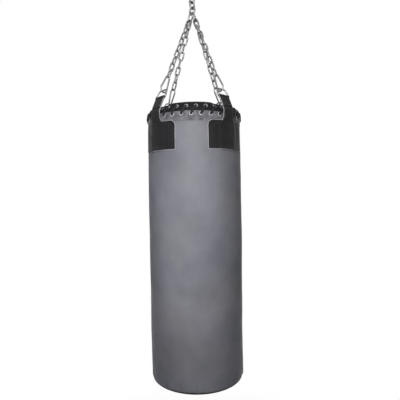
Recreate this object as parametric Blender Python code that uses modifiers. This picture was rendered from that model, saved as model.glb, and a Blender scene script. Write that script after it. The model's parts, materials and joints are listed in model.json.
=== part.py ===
# Laced heavy punching bag on a four-leg chain sling with a swivel.
# Sizes are in metres and +Z is up. The origin is the point inside the swivel's upper eye
# where whatever carries the bag bears, so everything hangs below it.

import math

import bmesh
import bpy
from mathutils import Matrix, Vector

CLEARANCE = 0.0003

# Radius of the mouth, which the shell, lid and flap are cut to fit
BAND_RADIUS = 0.1745

# Bag body
BODY_HEIGHT = 0.967
BAND_STANDS_PROUD = 0.0007
BELLY_BULGE = 0.0024
FOOT_TAPER = 0.0006
BELLY_DEPTH = 0.27
CORNER_RADIUS = 0.018
SHELL_WALL = 0.0025
BASE_WALL = 0.004
LINER_WALL = 0.012
LINER_GAP = 0.001
LINER_TOP_GAP = 0.008
FILLING_GAP = 0.002
FILLING_SHOULDER = 0.020
FILLING_HEEL = 0.012

# Band of doubled leather round the mouth, with the lower row of eyelet holes
BAND_HEIGHT = 0.035
BAND_WALL = 0.003
EYELET_COUNT = 32
EYELET_HOLE = 0.008
PUNCH_LENGTH = 0.030
LOWER_EYELET_DEPTH = 0.010

# Soft lid with the upper row of eyelet holes
LID_OVERHANG = 0.0007
LID_SHOULDER = 0.0752
LID_HEIGHT = 0.041
LID_CROWN = 0.002
LID_SHOULDER_POWER = 3.2
LID_SHOULDER_RINGS = (0.76, 0.92)
LID_TOP_RINGS = (1.1, 1.2)
LID_WALL = 0.003
LID_LIFT = 0.001
UPPER_EYELET_HEIGHT = 0.017
DENT_HALF_ANGLE = math.radians(10.5)
DENT_FADE_ANGLE = math.radians(11)

# Cover that closes the filling below the lid
FLAP_INSET = 0.012
FLAP_WALL = 0.003
FLAP_SKIRT = 0.050
FLAP_RISE = 0.022
FLAP_SHOULDER = 0.018

# Lace that whips the two eyelet rows together
LACE_DIAMETER = 0.005
LACE_STANDOFF = 0.0004

# Hanging straps, folded round the D-ring bars and sewn under the patches
STRAP_WIDTH = 0.048
STRAP_PLY = 0.002
STRAP_FREE = 0.061
STRAP_TAIL = 0.118
STRAP_BEND_HEIGHT = 0.006
STRAP_BEND_REACH = 0.012
STRAP_LAP_PLY = 0.0016
STRAP_LAP_START = 0.016
STRAP_LOOP_GAP = 0.0004
STRAP_LOOP_TAPER = 0.0118
RAMP_TOP_DEPTH = 0.015
RAMP_FOOT_DEPTH = 0.029

# Reinforcing patches
PATCH_WIDTH = 0.158
PATCH_HEIGHT = 0.098
PATCH_TOP_DEPTH = 0.031
PATCH_CORNER = 0.018
PATCH_CORNER_COLUMNS = (0.5, 0.13)
PATCH_CORNER_DROP = 0.9
PATCH_WALL = 0.002
PATCH_SEAT = 0.0011
PATCH_BULGE_MARGIN = 0.001
PATCH_BULGE_FADE = 0.010

# D-rings
RING_WIRE = 0.005
RING_INNER_WIDTH = 0.054
RING_TOP_WIDTH = 0.034
RING_INNER_HEIGHT = 0.0275
RING_FOOT_FILLET = 0.0035
RING_TOP_FILLET = 0.010

# Snap hooks
HOOK_WIRE = 0.006
HOOK_INNER_LENGTH = 0.061
HOOK_NARROW_RADIUS = 0.0042
HOOK_WIDE_RADIUS = 0.0105
GATE_DIAMETER = 0.0064
GATE_PIVOT_DROP = 0.0055
GATE_NOSE_RISE = 0.0035
TONGUE_THICKNESS = 0.0024
TONGUE_SLOT = 0.0031
TONGUE_LENGTH = 0.0042
TONGUE_HEIGHT = 0.0042
TONGUE_ROOT = 0.002
RIVET_DIAMETER = 0.0020
RIVET_BORE = 0.0026
PIVOT_SHOULDER = 0.0040
GATE_HEEL = 0.0021

# Leg chains
LINK_WIRE = 0.005
LINK_PITCH = 0.029
LINK_WIDTH = 0.020
LINKS_PER_LEG = 9
FUSED_BITE = 0.0006

# Yoke links, each carrying two legs
YOKE_WIRE = 0.005
YOKE_PITCH = 0.030
YOKE_WIDTH = 0.028
YOKE_SPREAD = 0.0033
YOKE_TURN = math.radians(25)
YOKE_SEAT_CLEARANCE = 0.0007
LEG_SPREAD = 0.0029

# Top strand
TOP_WIRE = 0.006
TOP_PITCH = 0.022
TOP_WIDTH = 0.030
TOP_LINKS = 3
STRAND_TURN = math.radians(38)

# Swivel
EYE_BORE = 0.022
EYE_WIRE = 0.008
STEM_DIAMETER = 0.010
STEM_SHOWING = 0.004
HEAD_DIAMETER = 0.018
HEAD_HEIGHT = 0.006
HEAD_EDGE = 0.0036
HEAD_CROWN_DIAMETER = 0.012
BOSS_DIAMETER = 0.024
BOSS_HEIGHT = 0.012
BOSS_CHAMFER = 0.002
BOW_WIRE = 0.007
BOW_WIDTH = 0.036
BOW_REACH = 0.026
BOW_SHOULDER = 0.008
BOW_FOOT_FILLET = 0.0135

# Each leg's place round the bag, and whether the wide end of its hook hangs down
LEG_ANGLE = math.radians(45)
LEGS = {
    "front_right": (-LEG_ANGLE, True),
    "front_left": (LEG_ANGLE - math.pi, True),
    "back_right": (LEG_ANGLE, False),
    "back_left": (math.pi - LEG_ANGLE, False),
}

TOP_RADIUS = BAND_RADIUS - BAND_STANDS_PROUD
BELLY_RADIUS = TOP_RADIUS + BELLY_BULGE
FOOT_RADIUS = TOP_RADIUS - FOOT_TAPER
LID_RADIUS = BAND_RADIUS + LID_OVERHANG
LID_FLAT_RADIUS = LID_RADIUS - LID_SHOULDER
FLAP_RADIUS = BAND_RADIUS - FLAP_INSET

UP = Vector((0.0, 0.0, 1.0))
FRONT_ANGLE = math.radians(-90)
SQUARE = math.radians(90)
EYELET_STEP = 2 * math.pi / EYELET_COUNT
INNER_SIDES = 18
SOLVER_ROUNDS = 40
HOLE_RING_CLEARANCE = 0.0008
PIVOT_ARROW = 0.04


def smoothstep(value):
    t = min(max(value, 0.0), 1.0)
    return t * t * (3 - 2 * t)


def around(angle, radius=1.0, z=0.0):
    return Vector((radius * math.cos(angle), radius * math.sin(angle), z))


def hang_frame(origin, down, lateral):
    """Matrix whose Y points up along the piece, and whose X lies along the lateral direction."""
    y = -down.normalized()
    x = (lateral - y * lateral.dot(y)).normalized()
    z = x.cross(y)
    matrix = Matrix((x, y, z)).transposed().to_4x4()
    matrix.translation = origin
    return matrix


# Heights down the axis, from the swivel to the apex of the sling

EYE_RADIUS = (EYE_BORE + EYE_WIRE) / 2
BOSS_TOP = -EYE_BORE - EYE_WIRE - STEM_SHOWING
BOSS_FOOT = BOSS_TOP - BOSS_HEIGHT
BOSS_MIDDLE = BOSS_TOP - BOSS_HEIGHT / 2
BOW_SEAT = BOSS_FOOT - BOW_REACH
TOP_STEP = TOP_PITCH - CLEARANCE
TOP_SEATS = [BOW_SEAT - TOP_STEP * i for i in range(TOP_LINKS + 1)]
APEX_AXIS = around(-STRAND_TURN)
BOW_AXIS = around(SQUARE - STRAND_TURN)


def wire_below(seat, wire):
    """Centre of the wire, on the axis, that the next piece down hangs on."""
    return UP * (seat - (CLEARANCE + wire) / 2)


def top_bend_centre():
    """Centre of the bend at the foot of the last link of the top strand."""
    inner_radius = TOP_WIDTH / 2 - TOP_WIRE
    return UP * (TOP_SEATS[-1] - CLEARANCE / 2 + inner_radius)


def yoke_seat():
    """From the centre of the apex link's bend to the middle of a yoke's wire in it."""
    return TOP_WIDTH / 2 - TOP_WIRE - YOKE_SEAT_CLEARANCE - YOKE_WIRE / 2


def yoke_slope():
    """Slope of the apex link's bend where a yoke bears on it."""
    return math.asin(YOKE_SPREAD / yoke_seat())


def bag_swing_centre():
    """Point on the axis level with the apex link's wire under the yokes, on which the bag rocks."""
    wire_radius = (TOP_WIDTH - TOP_WIRE) / 2
    return top_bend_centre() - UP * wire_radius * math.cos(yoke_slope())


class Yoke:
    """Link that hangs on one side of the apex link and carries a front and a back leg."""

    def __init__(self, side, strap_corner_z):
        self.wire_centre = (
            top_bend_centre()
            + APEX_AXIS * side * YOKE_SPREAD
            - UP * yoke_seat() * math.cos(yoke_slope())
        )
        aim = Vector((side * strap_radius_at_corner() * math.cos(LEG_ANGLE), 0, strap_corner_z))
        reach = aim - self.wire_centre
        self.down = Vector((reach.x, 0, reach.z)).normalized()
        across = Vector((math.sin(YOKE_TURN), math.cos(YOKE_TURN), 0))
        self.matrix = hang_frame(self.wire_centre, self.down, across)
        self.across = self.matrix.to_3x3().col[0].copy()

    def leg_wire_centre(self, front):
        """Middle of the top wire of the leg link that lies in this yoke's lower bend."""
        bend_radius = YOKE_WIDTH / 2 - YOKE_WIRE
        seat = bend_radius - YOKE_SEAT_CLEARANCE - LINK_WIRE / 2
        slope = math.asin(LEG_SPREAD / seat)
        to_bend = YOKE_WIRE / 2 + YOKE_PITCH - bend_radius
        sign = -1 if front else 1
        return (
            self.wire_centre
            + self.down * (to_bend + seat * math.cos(slope))
            + self.across * sign * seat * math.sin(slope)
        )


def strap_thickness():
    return 2 * STRAP_PLY


def strap_radius_at_corner():
    """Radius of the middle of the strap where it passes over the lace."""
    return BAND_RADIUS + LACE_DIAMETER + 2 * LACE_STANDOFF + CLEARANCE + strap_thickness() / 2


def chain_gaps():
    """Gap above each link of a leg, then the gap under the last: fused pairs bite into each other."""
    gaps = []
    for index in range(LINKS_PER_LEG + 1):
        inside_pair = index % 2 == 1 and index < LINKS_PER_LEG
        gaps.append(-FUSED_BITE if inside_pair else CLEARANCE)
    return gaps


def link_steps():
    gaps = chain_gaps()
    return [LINK_PITCH - (gaps[i] + gaps[i + 1]) / 2 for i in range(LINKS_PER_LEG)]


def leg_hardware_length():
    """From the seat in the yoke down to the middle of the D-ring's bar."""
    ring = RING_INNER_HEIGHT - CLEARANCE / 2
    return sum(link_steps()) + HOOK_INNER_LENGTH - CLEARANCE + ring


class Leg:
    """Line of one leg of the sling, from the yoke to the strap's corner at the mouth of the bag."""

    def __init__(self, name, strap_corner_z):
        self.name = name
        self.angle, self.wide_end_down = LEGS[name]
        self.radial = around(self.angle)
        side = 1 if self.radial.x > 0 else -1
        self.yoke = Yoke(side, strap_corner_z)
        self.corner = around(self.angle, strap_radius_at_corner(), strap_corner_z)
        top_wire = self.yoke.leg_wire_centre(self.radial.y < 0)
        self.down = (self.corner - top_wire).normalized()
        self.seat = top_wire + self.down * (LINK_WIRE + CLEARANCE) / 2
        tangent = around(self.angle + SQUARE)
        frame = hang_frame(self.seat, self.down, tangent)
        self.tangent = frame.to_3x3().col[0].copy()
        self.outward = frame.to_3x3().col[2].copy()
        if self.outward.dot(self.radial) < 0:
            self.outward.negate()
        self.length = (self.corner - self.seat).length
        self.strap_free = self.length - leg_hardware_length()

    def at(self, distance):
        """Point at this distance below the seat in the yoke."""
        return self.seat + self.down * distance

    def lateral(self, degrees):
        turn = math.radians(degrees)
        return self.tangent * math.cos(turn) + self.outward * math.sin(turn)

    def chain_twist(self):
        """Degrees from the tangent to the plane in which the first link must lie to straddle the yoke."""
        wanted = self.yoke.across.cross(self.down)
        twist = math.degrees(math.atan2(wanted.dot(self.outward), wanted.dot(self.tangent)))
        return (twist + 90) % 180 - 90


def solve_corner_height():
    """Height of the straps' corners at which the straps have their stated free length."""
    corner_z = TOP_SEATS[-1] - leg_hardware_length() - STRAP_FREE
    for _ in range(SOLVER_ROUNDS):
        spare = sum(Leg(name, corner_z).strap_free for name in LEGS) / len(LEGS) - STRAP_FREE
        corner_z += spare
    return corner_z


CORNER_Z = solve_corner_height()
RIM_Z = CORNER_Z - STRAP_BEND_HEIGHT
BASE_Z = RIM_Z - BODY_HEIGHT


def shell_radius(z):
    """Outer radius of the filled shell, fullest a quarter of the way down."""
    depth = RIM_Z - z
    if depth < BELLY_DEPTH:
        share = math.sin(math.pi / 2 * max(depth, 0) / BELLY_DEPTH)
        return TOP_RADIUS + (BELLY_RADIUS - TOP_RADIUS) * share
    share = math.cos(math.pi / 2 * (depth - BELLY_DEPTH) / (BODY_HEIGHT - BELLY_DEPTH)) ** 2
    return FOOT_RADIUS + (BELLY_RADIUS - FOOT_RADIUS) * share


def strap_radius(z):
    """Radius of the middle of the strap's thickness while it lies against the bag."""
    on_shell = max(shell_radius(z), BAND_RADIUS) + CLEARANCE + strap_thickness() / 2
    over_lace = strap_radius_at_corner()
    depth = RIM_Z - z
    rise = smoothstep((RAMP_FOOT_DEPTH - depth) / (RAMP_FOOT_DEPTH - RAMP_TOP_DEPTH))
    return on_shell + (over_lace - on_shell) * rise


def strap_point(leg, along, offset, across):
    """Point of a strap: along from its corner at the mouth, offset outwards, across its width."""
    z = CORNER_Z + along
    radius = strap_radius(z) + offset
    on_bag = around(leg.angle + across / radius, radius, z)
    in_air = leg.corner - leg.down * along + leg.tangent * across + leg.outward * offset
    return on_bag.lerp(in_air, smoothstep(along / (2 * STRAP_BEND_REACH) + 0.5))


def dent_share(angle):
    """How far the lid is drawn in below a strap: 1 under it, 0 between the straps."""
    share = 0.0
    for centre, _ in LEGS.values():
        apart = abs((angle - centre + math.pi) % (2 * math.pi) - math.pi)
        share = max(share, 1 - smoothstep((apart - DENT_HALF_ANGLE) / DENT_FADE_ANGLE))
    return share


def lid_drawn_in(angle, height):
    """How far a strap and the lace below it press the lid inwards at this height over the rim."""
    leg = Leg("front_right", CORNER_Z)
    lean = math.hypot(leg.down.x, leg.down.y) / -leg.down.z
    past_corner = max(height - STRAP_BEND_HEIGHT, 0)
    drop = (LID_RADIUS - BAND_RADIUS) + past_corner * lean
    return dent_share(angle) * drop * smoothstep(height / STRAP_BEND_HEIGHT)


def lid_profile_radius(height):
    share = min(max(height / LID_HEIGHT, 0), 1) ** LID_SHOULDER_POWER
    return LID_FLAT_RADIUS + (LID_RADIUS - LID_FLAT_RADIUS) * (1 - share) ** (1 / LID_SHOULDER_POWER)


def lid_radius(angle, height):
    return lid_profile_radius(height) - lid_drawn_in(angle, height)


def new_material(name, colour, roughness, metallic=0.0):
    made = bpy.data.materials.new(name)
    made.use_nodes = True
    shader = made.node_tree.nodes["Principled BSDF"]
    shader.inputs["Base Color"].default_value = (*colour, 1.0)
    shader.inputs["Roughness"].default_value = roughness
    shader.inputs["Metallic"].default_value = metallic
    return made


class Workshop:
    """Holds the collections and materials, and makes objects in them."""

    def __init__(self):
        for old in list(bpy.data.objects):
            bpy.data.objects.remove(old)
        self.parts = bpy.data.collections.new("punching_bag")
        self.cutters = bpy.data.collections.new("cutters")
        bpy.context.scene.collection.children.link(self.parts)
        bpy.context.scene.collection.children.link(self.cutters)
        self.grey_leather = new_material("grey_leather", (0.26, 0.26, 0.28), 0.42)
        self.black_leather = new_material("black_leather", (0.022, 0.022, 0.024), 0.5)
        self.webbing = new_material("webbing", (0.03, 0.03, 0.032), 0.75)
        self.steel = new_material("zinc_steel", (0.62, 0.62, 0.63), 0.3, 1.0)
        self.cord = new_material("black_cord", (0.015, 0.015, 0.016), 0.7)
        self.foam = new_material("foam", (0.75, 0.72, 0.62), 0.95)
        self.textile = new_material("textile_filling", (0.45, 0.42, 0.4), 1.0)

    def add(self, obj, material, smooth_below=40):
        self.parts.objects.link(obj)
        obj.data.materials.append(material)
        if obj.type == "MESH":
            obj.data.shade_smooth()
            obj.data.set_sharp_from_angle(angle=math.radians(smooth_below))
        return obj

    def helper(self, obj):
        self.cutters.objects.link(obj)
        obj.hide_render = True
        obj.display_type = "WIRE"
        return obj

    def boolean(self, obj, other, operation):
        modifier = obj.modifiers.new(operation.lower(), "BOOLEAN")
        modifier.operation = operation
        modifier.object = other
        return modifier

    def wire(self, name, points, radius, matrix, cyclic=True, sides=8):
        """Curve object of round wire through the points, in the matrix's frame."""
        curve = bpy.data.curves.new(name, "CURVE")
        curve.dimensions = "3D"
        curve.bevel_depth = radius
        curve.bevel_resolution = (sides - 4) // 2
        curve.use_fill_caps = not cyclic
        spline = curve.splines.new("POLY")
        spline.points.add(len(points) - 1)
        for point, place in zip(spline.points, points):
            point.co = (*place, 1.0)
        spline.use_cyclic_u = cyclic
        obj = bpy.data.objects.new(name, curve)
        obj.matrix_world = matrix
        return obj

    def as_mesh(self, curve_object):
        """Mesh object in place of the curve, with its caps welded on."""
        self.cutters.objects.link(curve_object)
        bpy.context.view_layer.update()
        graph = bpy.context.evaluated_depsgraph_get()
        mesh = bpy.data.meshes.new_from_object(curve_object.evaluated_get(graph))
        shape = bmesh.new()
        shape.from_mesh(mesh)
        bmesh.ops.remove_doubles(shape, verts=shape.verts, dist=0.00001)
        bmesh.ops.recalc_face_normals(shape, faces=shape.faces)
        shape.to_mesh(mesh)
        shape.free()
        name = curve_object.name
        matrix = curve_object.matrix_world.copy()
        bpy.data.objects.remove(curve_object)
        obj = bpy.data.objects.new(name, mesh)
        obj.matrix_world = matrix
        return obj

    def solid(self, name, shape, matrix=None):
        mesh = bpy.data.meshes.new(name)
        shape.to_mesh(mesh)
        shape.free()
        obj = bpy.data.objects.new(name, mesh)
        if matrix is not None:
            obj.matrix_world = matrix
        return obj

    def cylinder(self, name, diameter, length, matrix, sides=12):
        """Cylinder centred in the frame, its length along the frame's Z."""
        shape = bmesh.new()
        bmesh.ops.create_cone(
            shape,
            cap_ends=True,
            segments=sides,
            radius1=diameter / 2,
            radius2=diameter / 2,
            depth=length,
        )
        return self.solid(name, shape, matrix)

    def box(self, name, size, matrix):
        shape = bmesh.new()
        bmesh.ops.create_cube(shape, size=1)
        bmesh.ops.scale(shape, vec=size, verts=shape.verts)
        return self.solid(name, shape, matrix)

    def turned(self, name, profile, closed, steps, first_angle=0.0):
        """Profile of (radius, z) turned about the axis, outer side first and downwards."""
        mesh = bpy.data.meshes.new(name)
        points = [(radius, 0.0, z) for radius, z in profile]
        edges = [(i, i + 1) for i in range(len(points) - 1)]
        if closed:
            edges.append((len(points) - 1, 0))
        mesh.from_pydata(points, edges, [])
        obj = bpy.data.objects.new(name, mesh)
        obj.rotation_euler.z = first_angle
        screw = obj.modifiers.new("turn", "SCREW")
        screw.steps = steps
        screw.render_steps = steps
        screw.use_merge_vertices = True
        screw.merge_threshold = 0.00001
        return obj


def arc(centre, radius, start, end, steps):
    """Points of an arc in a plane, angles in degrees, both ends included."""
    points = []
    for index in range(steps + 1):
        angle = math.radians(start + (end - start) * index / steps)
        points.append((centre[0] + radius * math.cos(angle), centre[1] + radius * math.sin(angle)))
    return points


def flat(points):
    return [(x, y, 0.0) for x, y in points]


def link_outline(pitch, width, wire, steps):
    """Centre line of a link hung by the middle of its upper wire, with its length along -Y."""
    radius = (width - wire) / 2
    upper = (0, -radius)
    lower = (0, -(pitch + wire) + radius)
    return flat(arc(upper, radius, 180, 0, steps) + arc(lower, radius, 0, -180, steps))


def make_link(shop, name, top_wire_centre, down, lateral, pitch, width, wire, sides=8, steps=4):
    matrix = hang_frame(top_wire_centre, down, lateral)
    return shop.wire(name, link_outline(pitch, width, wire, steps), wire / 2, matrix, sides=sides)


def rounded_outline(corners, steps):
    """Closed centre line through the corners (x, y, fillet radius), each one an arc."""
    points = []
    count = len(corners)
    for index, (x, y, fillet) in enumerate(corners):
        here = Vector((x, y))
        to_last = (Vector(corners[index - 1][:2]) - here).normalized()
        to_next = (Vector(corners[(index + 1) % count][:2]) - here).normalized()
        half = to_last.angle(to_next) / 2
        centre = here + (to_last + to_next).normalized() * fillet / math.sin(half)
        first = here + to_last * fillet / math.tan(half) - centre
        last = here + to_next * fillet / math.tan(half) - centre
        start = math.atan2(first.y, first.x)
        sweep = (math.atan2(last.y, last.x) - start + math.pi) % (2 * math.pi) - math.pi
        for step in range(steps + 1):
            angle = start + sweep * step / steps
            points.append((centre.x + fillet * math.cos(angle), centre.y + fillet * math.sin(angle)))
    return flat(points)


def make_swivel(shop):
    """Eye with a headed stem, and the bow that turns on the stem and carries the top strand."""
    eye_frame = hang_frame(UP * (-EYE_BORE / 2), -UP, around(0))
    ring = [
        (EYE_RADIUS * math.cos(a), EYE_RADIUS * math.sin(a), 0.0)
        for a in (2 * math.pi * i / 16 for i in range(16))
    ]
    eye = shop.as_mesh(shop.wire("swivel_eye", ring, EYE_WIRE / 2, eye_frame))
    head_top = BOSS_FOOT - CLEARANCE
    stem_top = -EYE_BORE - EYE_WIRE / 2
    stem_profile = [
        (0.0, stem_top),
        (STEM_DIAMETER / 2, stem_top),
        (STEM_DIAMETER / 2, head_top),
        (HEAD_DIAMETER / 2, head_top),
        (HEAD_DIAMETER / 2, head_top - HEAD_EDGE),
        (HEAD_CROWN_DIAMETER / 2, head_top - HEAD_HEIGHT),
        (0.0, head_top - HEAD_HEIGHT),
    ]
    stem = shop.helper(shop.turned("stem", stem_profile, False, 12))
    shop.add(eye, shop.steel)
    shop.boolean(eye, stem, "UNION")

    half = (BOW_WIDTH - BOW_WIRE) / 2
    foot = wire_below(BOW_SEAT, BOW_WIRE).z - BOSS_MIDDLE
    corners = [
        (-half, 0.0, BOW_SHOULDER),
        (half, 0.0, BOW_SHOULDER),
        (half, foot, BOW_FOOT_FILLET),
        (-half, foot, BOW_FOOT_FILLET),
    ]
    frame = hang_frame(UP * BOSS_MIDDLE, -UP, BOW_AXIS)
    bow = shop.as_mesh(
        shop.wire("swivel_bow", rounded_outline(corners, 4), BOW_WIRE / 2, frame)
    )
    boss_profile = [
        (0.0, BOSS_TOP),
        (BOSS_DIAMETER / 2 - BOSS_CHAMFER, BOSS_TOP),
        (BOSS_DIAMETER / 2, BOSS_TOP - BOSS_CHAMFER),
        (BOSS_DIAMETER / 2, BOSS_FOOT + BOSS_CHAMFER),
        (BOSS_DIAMETER / 2 - BOSS_CHAMFER, BOSS_FOOT),
        (0.0, BOSS_FOOT),
    ]
    boss = shop.helper(shop.turned("boss", boss_profile, False, 12))
    drill = shop.helper(
        shop.cylinder(
            "drill",
            STEM_DIAMETER + 2 * CLEARANCE,
            2 * BOSS_HEIGHT,
            Matrix.Translation(UP * BOSS_MIDDLE),
            12,
        )
    )
    shop.add(bow, shop.steel)
    shop.boolean(bow, boss, "UNION")
    shop.boolean(bow, drill, "DIFFERENCE")


def make_top_strand(shop):
    """Three links, each square to the last; the apex link's bend is finest, for the yokes' seats."""
    links = (("top_link_upper", 6), ("top_link_middle", 6), ("apex_link", 8))
    for index, (name, steps) in enumerate(links):
        turn = -STRAND_TURN + SQUARE * (index % 2)
        link = make_link(
            shop,
            name,
            UP * (TOP_SEATS[index] + (CLEARANCE + TOP_WIRE) / 2),
            -UP,
            around(turn),
            TOP_PITCH,
            TOP_WIDTH,
            TOP_WIRE,
            steps=steps,
        )
        shop.add(link, shop.steel)


def make_yokes(shop):
    for side, name in ((1, "yoke_link_right"), (-1, "yoke_link_left")):
        yoke = Yoke(side, CORNER_Z)
        link = make_link(
            shop,
            name,
            yoke.wire_centre,
            yoke.down,
            yoke.across,
            YOKE_PITCH,
            YOKE_WIDTH,
            YOKE_WIRE,
            steps=6,
        )
        shop.add(link, shop.steel)


def make_leg_chain(shop, leg):
    """Nine links, each square to the last but for the small twist that the leg takes up.

    Links that bear on each other in pairs are one piece of wire work here.
    """
    twist = leg.chain_twist()
    gaps = chain_gaps()
    distance = 0.0
    pieces = []
    for index, step in enumerate(link_steps()):
        left = LINKS_PER_LEG - 1 - index
        degrees = 90 * left + twist * left / (LINKS_PER_LEG - 1)
        wire_centre = leg.at(distance - (gaps[index] + LINK_WIRE) / 2)
        piece = make_link(
            shop,
            f"chain_{leg.name}_{index // 2 + 1}",
            wire_centre,
            leg.down,
            leg.lateral(degrees),
            LINK_PITCH,
            LINK_WIDTH,
            LINK_WIRE,
            sides=6,
        )
        pieces.append(piece)
        distance += step
    for first in range(0, LINKS_PER_LEG, 2):
        upper = shop.as_mesh(pieces[first])
        shop.add(upper, shop.steel)
        if first + 1 < LINKS_PER_LEG:
            lower = shop.helper(shop.as_mesh(pieces[first + 1]))
            shop.boolean(upper, lower, "UNION")


def hook_shape():
    """Centre line of the hook's wire, and the pivot and nose of its gate, in the hook's frame.

    The frame's origin is the seat inside the narrow end, Y points from the wide end to it and
    the gate is on the +X side.
    """
    narrow = HOOK_NARROW_RADIUS + HOOK_WIRE / 2
    wide = HOOK_WIDE_RADIUS + HOOK_WIRE / 2
    narrow_centre = Vector((0.0, -HOOK_NARROW_RADIUS))
    wide_centre = Vector((0.0, -HOOK_INNER_LENGTH + HOOK_WIDE_RADIUS))
    span = (narrow_centre - wide_centre).length
    slant = math.asin((wide - narrow) / span)
    normal = Vector((math.cos(slant), math.sin(slant)))
    along = Vector((math.sin(slant), -math.cos(slant)))
    heel = narrow_centre + normal * narrow
    toe = wide_centre + normal * wide
    pivot = heel + along * GATE_PIVOT_DROP
    nose = toe - along * GATE_NOSE_RISE
    degrees = math.degrees(slant)
    shoulder = pivot - along * PIVOT_SHOULDER
    line = [tuple(shoulder)]
    line += arc(narrow_centre, narrow, degrees, 180 - degrees, 4)
    line += arc(wide_centre, wide, 180 - degrees, 360 + degrees, 6)
    line.append(tuple(nose))
    return flat(line), pivot, nose, along


def gate_frame(along):
    """Rotation whose Y runs up the gate, towards its pivot, in the hook's frame."""
    x = Vector((-along.y, along.x, 0.0))
    y = Vector((-along.x, -along.y, 0.0))
    return Matrix((x, y, UP)).transposed().to_4x4()


def hook_matrix(leg):
    """Frame of the hook: seat of the narrow end, which points up in front and down at the back."""
    top = sum(link_steps())
    if leg.wide_end_down:
        return hang_frame(leg.at(top - CLEARANCE / 2), leg.down, leg.outward)
    foot = top + HOOK_INNER_LENGTH - CLEARANCE
    return hang_frame(leg.at(foot + CLEARANCE / 2), -leg.down, leg.outward)


def gate_matrix(leg):
    """Frame on the gate's rivet: Y up the gate, Z along the rivet."""
    _, pivot, _, along = hook_shape()
    return hook_matrix(leg) @ Matrix.Translation((*pivot, 0.0)) @ gate_frame(along)


def make_snap_hook(shop, leg):
    line, pivot, nose, along = hook_shape()
    matrix = hook_matrix(leg)
    hook = shop.as_mesh(
        shop.wire(f"snap_hook_{leg.name}", line, HOOK_WIRE / 2, matrix, cyclic=False, sides=6)
    )
    at_pivot = gate_matrix(leg)
    at_nose = matrix @ Matrix.Translation((*nose, 0.0)) @ gate_frame(along)
    heel_tongue = PIVOT_SHOULDER + GATE_HEEL + TONGUE_ROOT
    heel_middle = PIVOT_SHOULDER + TONGUE_ROOT - heel_tongue / 2
    tongues = (
        (at_pivot @ Matrix.Translation((0, heel_middle, 0)), heel_tongue),
        (
            at_nose @ Matrix.Translation((0, (TONGUE_LENGTH - TONGUE_ROOT) / 2, 0)),
            TONGUE_LENGTH + TONGUE_ROOT,
        ),
    )
    shop.add(hook, shop.steel)
    for place, length in tongues:
        size = (TONGUE_HEIGHT, length, TONGUE_THICKNESS)
        tongue = shop.helper(shop.box(f"tongue_{leg.name}", size, place))
        shop.boolean(hook, tongue, "UNION")
    rivet_length = GATE_DIAMETER + 2 * CLEARANCE
    rivet = shop.helper(
        shop.cylinder(f"rivet_{leg.name}", RIVET_DIAMETER, rivet_length, at_pivot, 8)
    )
    shop.boolean(hook, rivet, "UNION")

    length = (nose - pivot).length - CLEARANCE + GATE_HEEL
    middle = at_pivot @ Matrix.Translation((0, GATE_HEEL - length / 2, 0))
    lying = Matrix.Rotation(math.pi / 2, 4, "X")
    gate = shop.cylinder(f"hook_gate_{leg.name}", GATE_DIAMETER, length, middle @ lying, 8)
    shop.add(gate, shop.steel)
    slots = (
        (at_pivot, 2 * (GATE_HEEL + 2 * CLEARANCE)),
        (at_nose, 2 * (TONGUE_LENGTH + 2 * CLEARANCE)),
    )
    for place, depth in slots:
        size = (2 * GATE_DIAMETER, depth, TONGUE_SLOT)
        slot = shop.helper(shop.box(f"slot_{leg.name}", size, place))
        shop.boolean(gate, slot, "DIFFERENCE")
    bore = shop.helper(
        shop.cylinder(f"bore_{leg.name}", RIVET_BORE, 2 * GATE_DIAMETER, at_pivot, 8)
    )
    shop.boolean(gate, bore, "DIFFERENCE")


def make_d_ring(shop, leg):
    bar = leg.at(leg_hardware_length())
    half_foot = (RING_INNER_WIDTH + RING_WIRE) / 2
    half_top = (RING_TOP_WIDTH + RING_WIRE) / 2
    height = RING_INNER_HEIGHT + RING_WIRE / 2
    corners = [
        (-half_foot, 0.0, RING_FOOT_FILLET),
        (half_foot, 0.0, RING_FOOT_FILLET),
        (half_top, height, RING_TOP_FILLET),
        (-half_top, height, RING_TOP_FILLET),
    ]
    matrix = hang_frame(bar, leg.down, leg.tangent)
    outline = rounded_outline(corners, 2)
    ring = shop.wire(f"d_ring_{leg.name}", outline, RING_WIRE / 2, matrix, sides=6)
    shop.add(ring, shop.steel)


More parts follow.
